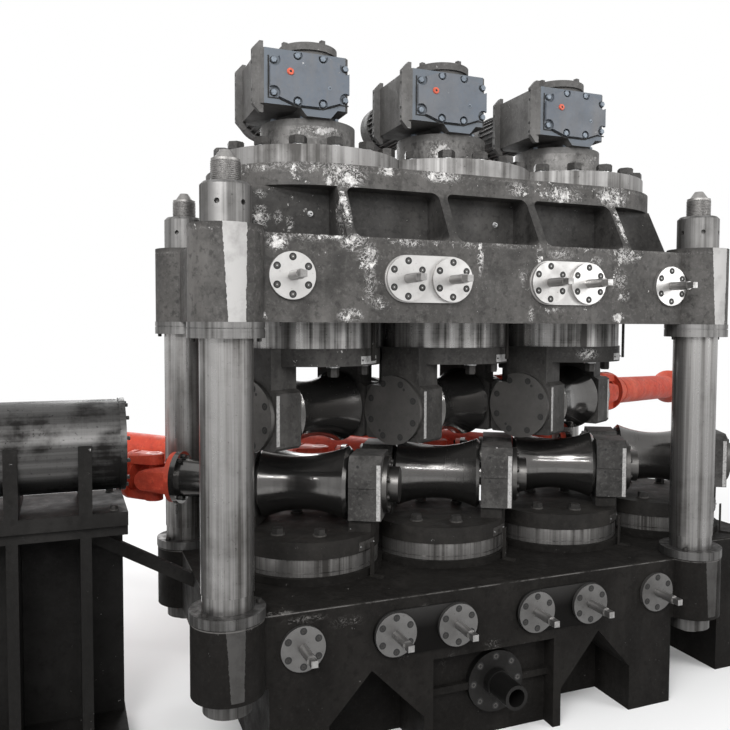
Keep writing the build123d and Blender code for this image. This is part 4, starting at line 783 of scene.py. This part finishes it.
BLOCK_COVER_SCREW = fastener((0.011, 0.010), (0.013, 0.0006), 16, 0.006, BLACK_SUNK)
FLANK_HOLE = fastener((0.005, 0.0006), (0.006, 0.0004), 12, materials=BLIND_HOLE)
HEAD_BOLT = fastener((0.026, 0.040), (0.029, 0.008))
HEAD_RIVET = fastener((0.004, 0.002), sides=12, materials=ALL_DUSTY)
HEAD_COVER_SCREW = fastener((0.008, 0.0006), (0.0155, 0.0005), 16, 0.004, BLACK_SUNK)
HEAD_COVER_HOLE = fastener((0.0055, 0.0004), (0.0065, 0.0003), 12, materials=BLIND_HOLE)
YOKE_BOLT = fastener((0.010, 0.009), (0.011, 0.002), materials=ALL_BLACK)
YOKE_NUT = fastener((0.010, 0.011), (0.011, 0.002), materials=ALL_BLACK)
UPPER_RING_SCREW = fastener((0.009, 0.012), (0.010, 0.002), 12, 0.005, ALL_BLACK)
LOWER_RING_SCREW = fastener((0.012, 0.012), (0.013, 0.002), 12, 0.006, ALL_BLACK)
GUIDE_SCREW = fastener((0.008, 0.012), (0.009, 0.001), 12, 0.004, ALL_BLACK)
CRADLE_BOLT = fastener((0.015, 0.014), (0.018, 0.003), materials=BLACK_ON_DUSTY)
GREASE_SCREW = fastener((0.009, 0.010), (0.012, 0.003), 12, 0.004,
                        (PALE_WASHER, BRIGHT_BOLT, HOLE_SHADE))


def facing(centre, axis):
    """Placement with local Z along an axis and local X level."""
    axis = Vector(axis).normalized()
    side = RIGHT if abs(axis.z) > 0.9 else UP.cross(axis).normalized()
    turn = Matrix((side, axis.cross(side), axis)).transposed().to_4x4()
    return Matrix.Translation(Vector(centre)) @ turn


def around(radius, angles):
    """Points on a circle at angles from local X, in degrees."""
    return [(radius * cos(radians(angle)), radius * sin(radians(angle))) for angle in angles]


def ring(count, radius, first=-90.0):
    """Points evenly round a circle."""
    return around(radius, [first + step * 360 / count for step in range(count)])


def four(half_x, half_y):
    """Corners of a rectangle about the middle."""
    return [(x, y) for x in (-half_x, half_x) for y in (-half_y, half_y)]


def bolts(centre, axis, points, kind):
    """Mesh of like fasteners at local points."""
    places = bpy.data.meshes.new("places")
    places.from_pydata([(x, y, 0.0) for x, y in points], [], [])
    carrier = bpy.data.objects.new("carrier", places)
    bpy.context.scene.collection.objects.link(carrier)
    modifier = carrier.modifiers.new("Bolts", "NODES")
    modifier.node_group = BOLTS
    for item in BOLTS.interface.items_tree:
        if item.in_out == "INPUT" and item.name in kind:
            modifier[item.identifier] = kind[item.name]
    evaluated = carrier.evaluated_get(bpy.context.evaluated_depsgraph_get())
    mesh = bpy.data.meshes.new_from_object(evaluated)
    mesh.transform(facing(centre, axis))
    bpy.data.objects.remove(carrier)
    return mesh


def station_bolts(places, offset, axis, points, kind):
    """Like fasteners at the same spots of several roll stations."""
    x, y, z = offset
    return [bolts((head_x(place) + x, y, z), axis, points, kind) for place in places]


def plain_mesh(made, material, placement=Matrix.Identity(4)):
    """Mesh of a finished shape, in its place and material."""
    mesh = bpy.data.meshes.new("part")
    made.to_mesh(mesh)
    made.free()
    mesh.transform(placement)
    mesh.materials.append(material)
    return mesh


def lathe(centre, axis, profile, material, steps):
    """Mesh turned about an axis from a closed (radius, height) profile."""
    made = bmesh.new()
    outline = [made.verts.new((radius, 0.0, height)) for radius, height in profile]
    edges = [made.edges.new(pair) for pair in zip(outline, outline[1:] + outline[:1])]
    bmesh.ops.spin(made, geom=outline + edges, cent=(0, 0, 0), axis=(0, 0, 1),
                   angle=radians(360), steps=steps)
    bmesh.ops.remove_doubles(made, verts=made.verts, dist=1e-6)
    bmesh.ops.recalc_face_normals(made, faces=made.faces)
    return plain_mesh(made, material, facing(centre, axis))


def slab(placement, sizes, material):
    """Thin box: sizes along local X, Y and Z, standing on the placement's plane."""
    made = bmesh.new()
    bmesh.ops.create_cube(made, size=1.0)
    grown = Matrix.Translation((0, 0, sizes[2] / 2)) @ Matrix.Diagonal((*sizes, 1.0))
    bmesh.ops.transform(made, matrix=placement @ grown, verts=made.verts)
    return plain_mesh(made, material)


def rim_plate(centre, radius, bearing, half_angle, low, high, proud, material, steps=10):
    """Thin plate bent round a cylinder."""
    made = bmesh.new()
    corners = ((radius, low), (radius + proud, low), (radius + proud, high), (radius, high))
    rows = []
    for step in range(steps + 1):
        out = level_vector(bearing - half_angle + step * 2 * half_angle / steps)
        rows.append([made.verts.new(centre + out * reach + UP * z) for reach, z in corners])
    for one, two in zip(rows, rows[1:]):
        for n in range(4):
            made.faces.new((one[n], two[n], two[(n + 1) % 4], one[(n + 1) % 4]))
    made.faces.new(rows[0])
    made.faces.new(rows[-1])
    bmesh.ops.recalc_face_normals(made, faces=made.faces)
    return plain_mesh(made, material)


def piece(name, body, meshes):
    """One object on a body from several meshes, their materials side by side."""
    whole = bmesh.new()
    materials = []
    for mesh in meshes:
        own = []
        for material in mesh.materials:
            if material not in materials:
                materials.append(material)
            own.append(materials.index(material))
        first = len(whole.faces)
        whole.from_mesh(mesh)
        whole.faces.ensure_lookup_table()
        for face in whole.faces[first:]:
            face.material_index = own[face.material_index]
    made = bpy.data.meshes.new(name)
    whole.to_mesh(made)
    whole.free()
    for material in materials:
        made.materials.append(material)
    made_object = bpy.data.objects.new(name, made)
    bpy.context.scene.collection.objects.link(made_object)
    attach(made_object, body)


# Crown discs, gear units and motors

DISC_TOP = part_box("crown_covers")[1].z
DISC_BOLT_R = 0.385
DISC_MEETING = 0.30
GEAR_FLANGE_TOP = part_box("gear_pedestals")[1].z + 0.030
GEAR_FLANGE_BOLT_R = 0.19
GEAR_FRONT = -0.235
GEAR_COVER_FACE = GEAR_FRONT - 0.014
GEAR_COVER_X = -0.062
GEAR_COVER_Z = 2.811
COVER_BOLT_SPOTS = four(0.156, 0.066) + four(0.055, 0.094)
# Painted shadow under the gear covers: thickness and outline of the dark sheet
SHADOW_T = 0.0006
SHADOW_OUTLINE = (
    (-0.173, -0.084), (-0.131, -0.084), (-0.058, -0.109), (0.058, -0.109), (0.131, -0.084),
    (0.173, -0.084), (0.173, -0.090), (0.132, -0.090), (0.060, -0.116), (-0.060, -0.116),
    (-0.133, -0.090), (-0.180, -0.090), (-0.180, 0.084), (-0.173, 0.084),
)
STRIP_X = -0.302
STRIP_YS = (-0.207, 0.122)
STRIP_SPOTS = [(0.0, rise) for rise in (-0.096, -0.055, 0.055, 0.096)]
CAP_TOP = 3.004
CAP_SCREW_R = 0.088
MOTOR_X = -0.085
MOTOR_Z = 2.840
SLOT_RINGS = ((8, 0.035), (14, 0.060), (20, 0.085))
TERMINAL_Y = 0.3145


def disc_bolts():
    """Large hex bolts round each cover disc, none where two discs meet."""
    meshes = []
    for place in UPPER_HEADS:
        kept = [
            (x, y) for x, y in ring(16, DISC_BOLT_R)
            if (x < DISC_MEETING or place == UPPER_HEADS[-1])
            and (x > -DISC_MEETING or place == UPPER_HEADS[0])
        ]
        meshes.append(bolts((head_x(place), 0, DISC_TOP), UP, kept, DISC_BOLT))
    piece("disc_bolts", "frame", meshes)


def gear_fasteners():
    """Bolts, plugs and holes of the gear units."""
    meshes = []
    for x, y, z, axis, spots, kind in (
        (0, 0, GEAR_FLANGE_TOP, UP, ring(8, GEAR_FLANGE_BOLT_R, -67.5), GEAR_FLANGE_BOLT),
        (GEAR_COVER_X, GEAR_FRONT, GEAR_COVER_Z, FRONT, COVER_BOLT_SPOTS, GEAR_COVER_BOLT),
        (GEAR_COVER_X, GEAR_COVER_FACE, GEAR_COVER_Z, FRONT, [(-0.087, 0.024)], OIL_PLUG),
        (GEAR_COVER_X, GEAR_COVER_FACE, GEAR_COVER_Z, FRONT, [(0.084, -0.025)], SMALL_PLUG),
        (STRIP_X, STRIP_YS[0], GEAR_COVER_Z, LEFT, STRIP_SPOTS, STRIP_HOLE),
        (STRIP_X, STRIP_YS[1], GEAR_COVER_Z, LEFT, STRIP_SPOTS, STRIP_HOLE),
    ):
        meshes += station_bolts(UPPER_HEADS, (x, y, z), axis, spots, kind)
    piece("gear_fasteners", "frame", meshes)


def gear_cover_shadows():
    """Painted shadow: a dark sheet under the lower edge and left edge of each gear cover."""
    meshes = []
    for place in UPPER_HEADS:
        x = head_x(place) + GEAR_COVER_X
        made = bmesh.new()
        flat = made.faces.new([
            made.verts.new((x + across, GEAR_FRONT - SHADOW_T, GEAR_COVER_Z + rise))
            for across, rise in SHADOW_OUTLINE
        ])
        thick = bmesh.ops.extrude_face_region(made, geom=[flat])
        moved = [part for part in thick["geom"] if isinstance(part, bmesh.types.BMVert)]
        bmesh.ops.translate(made, verts=moved, vec=(0, SHADOW_T, 0))
        bmesh.ops.recalc_face_normals(made, faces=made.faces)
        meshes.append(plain_mesh(made, SHADOW_LINE))
    piece("gear_cover_shadows", "frame", meshes)


def gear_cap_plugs():
    """Screws round the dished caps of the gear units and the breather beside their middle."""
    middle = (0, 0, CAP_TOP)
    screws = station_bolts(UPPER_HEADS, middle, UP, ring(8, CAP_SCREW_R, 10.0), CAP_SCREW)
    breathers = station_bolts(UPPER_HEADS, middle, UP, [(0.02, -0.03)], BREATHER)
    piece("gear_cap_plugs", "frame", screws + breathers)


def motor_trim():
    """Air slots in the motor cowls and screws on the terminal boxes."""
    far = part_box("motors")[1]
    box_top = (MOTOR_X, TERMINAL_Y, far.z)
    meshes = station_bolts(UPPER_HEADS, box_top, UP, four(0.045, 0.045), BOX_SCREW)
    for count, radius in SLOT_RINGS:
        spots = ring(count, radius)
        meshes += station_bolts(UPPER_HEADS, (MOTOR_X, far.y, MOTOR_Z), BACK, spots, COWL_SLOT)
    piece("motor_trim", "frame", meshes)


# Setting flanges and the lift drive

SETTERS = ((0.2345, 1.976, UPPER_SETTER_SCREW), (0.193, 0.545, LOWER_SETTER_SCREW))
SETTER_T = 0.016
SETTER_PLATE_T = 0.008
SETTER_SCREW_R = 0.070
LIFT_DRIVE = (0.045, -0.530, 0.240)
LIFT_SCREW_R = 0.110


def adjuster_screws():
    """Six sunk socket screws in every setting flange, front and back."""
    meshes = []
    for reach, height, screw in SETTERS:
        for place in UPPER_HEADS:
            for side in (-1, 1):
                proud = SETTER_T + (SETTER_PLATE_T if place + side in UPPER_HEADS else 0)
                middle = Vector((head_x(place) + side * reach, 0, height))
                for axis in (FRONT, BACK):
                    face = middle + axis * (BAND_Y + proud)
                    meshes.append(bolts(face, axis, ring(6, SETTER_SCREW_R), screw))
    piece("adjuster_screws", "frame", meshes)


def lift_drive_screws():
    """Eight sunk screws in the lift drive's flange."""
    meshes = [bolts(LIFT_DRIVE, FRONT, ring(8, LIFT_SCREW_R), LIFT_SCREW)]
    piece("lift_drive_screws", "frame", meshes)


# Turntables, bearing blocks and upper heads

PLATE_R = 0.331
TABLE_TOP = 0.874
TABLE_BOLT_R = 0.22
TABLE_BOLT_ANGLES = (-93, -143, 87, 37)
HEAD_PLATE_UNDER = 1.615
HEAD_BOLT_R = 0.26
HEAD_BOLT_ANGLES = (82, 32, -98, -148)
SCALE_T = 0.0015
RIVET_INSET = 1.5
COVER_FACE = 0.382
BLOCK_SCREW_R = 0.104
HEAD_SCREW_R = 0.128
HEAD_HOLE_R = 0.118
BLOCK_END = 0.360
BLOCK_HALF_W = 0.130
ARM_HALF_W = 0.162
EDGE_INSET = 0.012
EDGE_W = 0.018
EDGE_T = 0.0006
FLANK_HOLE_INSET = 0.105


def scale_plate(place, bearing, half_angle, low, high, material, rivet):
    """Thin riveted plate bent round the rim of a turntable or a head plate."""
    middle = Vector((head_x(place), 0, 0))
    meshes = [rim_plate(middle, PLATE_R, bearing, half_angle, low, high, SCALE_T, material)]
    for turn in (RIVET_INSET - half_angle, half_angle - RIVET_INSET):
        out = level_vector(bearing + turn)
        spot = middle + out * (PLATE_R + SCALE_T) + UP * ((low + high) / 2)
        meshes.append(bolts(spot, out, [(0, 0)], rivet))
    return meshes


def edge_strip(middle, end, out, half_width, drop, length):
    """Machined strip down the flank of a bearing block or arm, beside its cover."""
    level = middle + end * (BLOCK_END - EDGE_INSET) + out * half_width - UP * drop
    return slab(facing(level, out), (EDGE_W, length, EDGE_T), MACHINED_EDGE)


def turntable_bolts():
    """Hex bolts that hold down each turntable plate beside its roll."""
    spots = around(TABLE_BOLT_R, TABLE_BOLT_ANGLES)
    meshes = station_bolts(LOWER_HEADS, (0, 0, TABLE_TOP), UP, spots, TABLE_BOLT)
    piece("turntable_bolts", "frame", meshes)


def lower_cover_screws():
    """Socket screws round the covers at both ends of the lower rolls."""
    meshes = []
    for place in LOWER_HEADS:
        middle = Vector((head_x(place), 0, LOWER_AXIS_Z))
        for end in (-LOWER_DRIVE, LOWER_DRIVE):
            spots = ring(8, BLOCK_SCREW_R, 22.5)
            meshes.append(bolts(middle + end * COVER_FACE, end, spots, BLOCK_COVER_SCREW))
    piece("lower_cover_screws", "frame", meshes)


def lower_block_edges():
    """Machined strips and two small holes on the flanks of the bearing blocks."""
    meshes = []
    for place in LOWER_HEADS:
        middle = Vector((head_x(place), 0, LOWER_AXIS_Z))
        for end in (-LOWER_DRIVE, LOWER_DRIVE):
            for flank in (-1, 1):
                out = UP.cross(LOWER_DRIVE) * flank
                meshes.append(edge_strip(middle, end, out, BLOCK_HALF_W, 0.016, 0.246))
                hole = middle + end * (BLOCK_END - FLANK_HOLE_INSET) + out * BLOCK_HALF_W
                meshes.append(bolts(hole, out, [(0, 0.098), (0, -0.016)], FLANK_HOLE))
    piece("lower_block_edges", "frame", meshes)


def lower_scale_plates():
    """Scale plates on the turntable rims beside their pointers."""
    meshes = []
    for place in LOWER_HEADS:
        meshes += scale_plate(place, -54.0, 10.5, 0.808, 0.846, DULL_PLATE, TABLE_RIVET)
    piece("lower_scale_plates", "frame", meshes)


def head_trim(place):
    """Bolts, cover screws, scale plate and machined edges of one upper head."""
    number = place + 2
    middle = Vector((head_x(place), 0, UPPER_AXIS_Z))
    plate = (head_x(place), 0, HEAD_PLATE_UNDER)
    meshes = [bolts(plate, -UP, around(HEAD_BOLT_R, HEAD_BOLT_ANGLES), HEAD_BOLT)]
    for end in (-UPPER_DRIVE, UPPER_DRIVE):
        face = middle + end * COVER_FACE
        meshes.append(bolts(face, end, ring(8, HEAD_SCREW_R, 22.5), HEAD_COVER_SCREW))
        meshes.append(bolts(face, end, ring(2, HEAD_HOLE_R, 55.0), HEAD_COVER_HOLE))
        for flank in (-1, 1):
            out = UP.cross(UPPER_DRIVE) * flank
            meshes.append(edge_strip(middle, end, out, ARM_HALF_W, 0.012, 0.210))
    meshes += scale_plate(place, -52.0, 11.0, 1.622, 1.656, SCALE_PLATE, HEAD_RIVET)
    piece(f"head_trim_{number}", f"upper_head_{number}", meshes)


# Joints of the roll shafts

JOINT_REACH = 0.600
FIRST_JOINT_REACH = 0.745
SHAFT_SPAN = 1.4
YOKE_BOLT_R = 0.1
YOKE_BOLT_ANGLES = (60, 90, 120, 240, 270, 300)
YOKE_BOLT_BACK = 0.095
YOKE_NUT_BACK = 0.145
EAR_TOP = 0.110
RING_PROFILE = ((0.026, -0.0005), (0.037, -0.0005), (0.037, 0.0015), (0.026, 0.0015))


def shaft_joint(row, place, axis_z, drive, lead):
    """Bolts of one roll's flange pair, and bearing rings in the upright ears of its shaft."""
    number = place + 2
    middle = Vector((head_x(place), 0, axis_z))
    long = (row, place) == ("lower", LOWER_HEADS[0])
    reach = FIRST_JOINT_REACH if long else JOINT_REACH
    spots = around(YOKE_BOLT_R, YOKE_BOLT_ANGLES)
    piece(f"yoke_bolts_{row}_{number}", f"{row}_roll_{number}", [
        bolts(middle + drive * (reach - YOKE_BOLT_BACK), drive, spots, YOKE_BOLT),
        bolts(middle + drive * (reach - YOKE_NUT_BACK), -drive, spots, YOKE_NUT),
    ])
    joint = middle + drive * reach
    upward = lead.cross(UP.cross(lead).normalized()).normalized()
    piece(f"bearing_rings_{row}_{number}", f"{row}_shaft_{number}", [
        lathe(joint + lead * along + out * EAR_TOP, out, RING_PROFILE, RED_RING, 32)
        for along in (0.0, SHAFT_SPAN) for out in (-upward, upward)
    ])


# Columns and the entry guide

NUT_TOP = 2.309
THREAD_TOP = 2.394
THREAD_PITCH = 0.0071
THREAD_ROOT_R = 0.0528
THREAD_CREST_R = 0.0552
UPPER_RING_UNDER = CROWN_BOTTOM - 0.059
LOWER_RING_TOP = 0.730
RING_SCREW_R = 0.121
GUIDE_Z = 1.290
GUIDE_SCREW_R = 0.171
CRADLE_TOP = 1.045
CRADLE_BOLT_INSET = 0.05
CRADLE_BOLT_YS = (-0.150, 0.215)
GREASE_SPOTS = ((-0.746, 2.242), (0.117, 2.242))


def rod_threads():
    """Thread ridges on the tie rods above their nuts."""
    meshes = []
    count = int((THREAD_TOP - NUT_TOP) / THREAD_PITCH)
    for x, y in COLUMNS:
        for turn in range(count):
            low = NUT_TOP + turn * THREAD_PITCH
            ridge = (
                (THREAD_ROOT_R, low),
                (THREAD_CREST_R, low + 0.4 * THREAD_PITCH),
                (THREAD_CREST_R, low + 0.6 * THREAD_PITCH),
                (THREAD_ROOT_R, low + 0.95 * THREAD_PITCH),
            )
            meshes.append(lathe((x, y, 0), UP, ridge, THREAD_STEEL, 40))
    piece("rod_threads", "frame", meshes)


def column_ring_screws():
    """Screws under the upper locating rings and on the lower ones."""
    under = around(RING_SCREW_R, (9, -173))
    above = around(RING_SCREW_R, (3, -144))
    meshes = []
    for x, y in COLUMNS:
        meshes.append(bolts((x, y, UPPER_RING_UNDER), -UP, under, UPPER_RING_SCREW))
        meshes.append(bolts((x, y, LOWER_RING_TOP), UP, above, LOWER_RING_SCREW))
    piece("column_ring_screws", "frame", meshes)


def entry_guide_screws():
    """Screws in the guide's end rings and hex bolts on its cradle."""
    low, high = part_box("entry_guide_sleeve")
    cradle_low, cradle_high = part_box("entry_guide_cradle")
    middle_x = (low.x + high.x) / 2
    meshes = [
        bolts((x, 0, GUIDE_Z), axis, ring(12, GUIDE_SCREW_R, 15.0), GUIDE_SCREW)
        for x, axis in ((low.x, LEFT), (high.x, RIGHT))
    ]
    spots = [
        (x - middle_x, y)
        for x in (cradle_low.x + CRADLE_BOLT_INSET, cradle_high.x - CRADLE_BOLT_INSET)
        for y in CRADLE_BOLT_YS
    ]
    meshes.append(bolts((middle_x, 0, CRADLE_TOP), UP, spots, CRADLE_BOLT))
    piece("entry_guide_screws", "frame", meshes)


def pocket_screws():
    """Two small bright grease screws in the crown's front pockets."""
    meshes = [bolts((0, POCKET_Y, 0), FRONT, GREASE_SPOTS, GREASE_SCREW)]
    piece("pocket_screws", "frame", meshes)


disc_bolts()
gear_fasteners()
gear_cover_shadows()
gear_cap_plugs()
motor_trim()
adjuster_screws()
lift_drive_screws()
turntable_bolts()
lower_cover_screws()
lower_block_edges()
lower_scale_plates()
rod_threads()
column_ring_screws()
entry_guide_screws()
pocket_screws()
for place in UPPER_HEADS:
    head_trim(place)
joint_axes = {joint["name"]: Vector(joint["axis"]) for joint in frame["joints"]}
for row, places, axis_z, drive in ROWS:
    for place in places:
        lead = joint_axes[f"{row}_shaft_{place + 2}_spin"]
        shaft_joint(row, place, axis_z, drive, lead)

# Light, floor and camera

EYE = Vector((-1.674, -3.3985, 1.80))
EYE_YAW = 22.304
EYE_PITCH = 2.833
EYE_ROLL = 0.294
LENS = 38.12
LENS_SHIFT = (-0.0242, -0.0052)
FLOOR_SIZE = 60.0
FLOOR_DROP = 0.001
FLOOR_FADE = (2.8, 6.0)
WORLD_STRENGTH = 0.55


def make_camera():
    """The photograph's camera."""
    data = bpy.data.cameras.new("Photo Camera")
    data.sensor_width = 36.0
    data.lens = LENS
    data.shift_x, data.shift_y = LENS_SHIFT
    camera = bpy.data.objects.new("Photo Camera", data)
    bpy.context.scene.collection.objects.link(camera)
    turn = (
        Matrix.Rotation(radians(-EYE_YAW), 4, "Z")
        @ Matrix.Rotation(radians(90 - EYE_PITCH), 4, "X")
        @ Matrix.Rotation(radians(EYE_ROLL), 4, "Z")
    )
    camera.matrix_world = Matrix.Translation(EYE) @ turn
    bpy.context.scene.camera = camera


def seen_rays(tree):
    """1 for camera, glossy and transmission rays, 0 for the rays that carry bounced light."""
    path = tree.nodes.new("ShaderNodeLightPath").outputs
    return maths(tree, "MAXIMUM", path["Is Camera Ray"],
                 maths(tree, "MAXIMUM", path["Is Glossy Ray"], path["Is Transmission Ray"]))


def make_floor():
    """Pale floor under the machine, which throws little light back up."""
    bpy.ops.mesh.primitive_plane_add(size=FLOOR_SIZE, location=(0, 0, -FLOOR_DROP))
    floor = bpy.context.object
    floor.name = "Floor"
    material, tree, shader = new_material("Floor", 0.0)
    seen = seen_rays(tree)
    join(tree, mix(tree, seen, grey(0.20), grey(0.88)), shader.inputs["Base Color"])
    shader.inputs["Roughness"].default_value = 0.85
    shader.inputs["Specular IOR Level"].default_value = 0.1
    far = ramp(tree, vectors(tree, "LENGTH", object_point(tree)), *FLOOR_FADE)
    white = tree.nodes.new("ShaderNodeEmission")
    fading = tree.nodes.new("ShaderNodeMixShader")
    join(tree, times(tree, far, seen), fading.inputs[0])
    tree.links.new(shader.outputs[0], fading.inputs[1])
    tree.links.new(white.outputs[0], fading.inputs[2])
    tree.links.new(fading.outputs[0], tree.nodes["Material Output"].inputs["Surface"])
    floor.data.materials.append(material)


def make_light(name, place, target, size, power, breadth=None):
    """Soft area light aimed at a point, round or a long strip."""
    data = bpy.data.lights.new(name, "AREA")
    data.shape = "RECTANGLE" if breadth else "DISK"
    data.size = size
    if breadth:
        data.size_y = breadth
    data.energy = power
    light = bpy.data.objects.new(name, data)
    light.location = place
    light.rotation_euler = (Vector(target) - Vector(place)).to_track_quat("-Z", "Y").to_euler()
    bpy.context.scene.collection.objects.link(light)


def make_world():
    """Even surroundings, white behind the object."""
    world = bpy.data.worlds.new("Studio")
    world.use_nodes = True
    tree = world.node_tree
    tree.nodes.clear()
    seen = tree.nodes.new("ShaderNodeBackground")
    unseen = tree.nodes.new("ShaderNodeBackground")
    for background in (seen, unseen):
        background.inputs["Color"].default_value = (1, 1, 1, 1)
    unseen.inputs["Strength"].default_value = WORLD_STRENGTH
    either = tree.nodes.new("ShaderNodeMixShader")
    out = tree.nodes.new("ShaderNodeOutputWorld")
    tree.links.new(seen_rays(tree), either.inputs[0])
    tree.links.new(unseen.outputs[0], either.inputs[1])
    tree.links.new(seen.outputs[0], either.inputs[2])
    tree.links.new(either.outputs[0], out.inputs["Surface"])
    bpy.context.scene.world = world


make_camera()
make_floor()
make_world()
make_light("Key Light", (-4.0, -5.5, 6.0), (0, 0, 1.2), 3.0, 250)
make_light("Fill Light", (4.5, -5.0, 3.5), (0, 0, 1.4), 3.0, 160)
make_light("Rear Light", (0.0, 6.0, 4.5), (0, 0, 1.2), 3.0, 240)
make_light("High Strip", (-3.6, -6.0, 6.4), (0, 0, 1.1), 9.0, 260, 0.18)
make_light("Low Strip", (-3.6, -6.0, 4.0), (0, 0, 1.1), 9.0, 220, 0.12)
bpy.context.scene.view_settings.view_transform = "Standard"
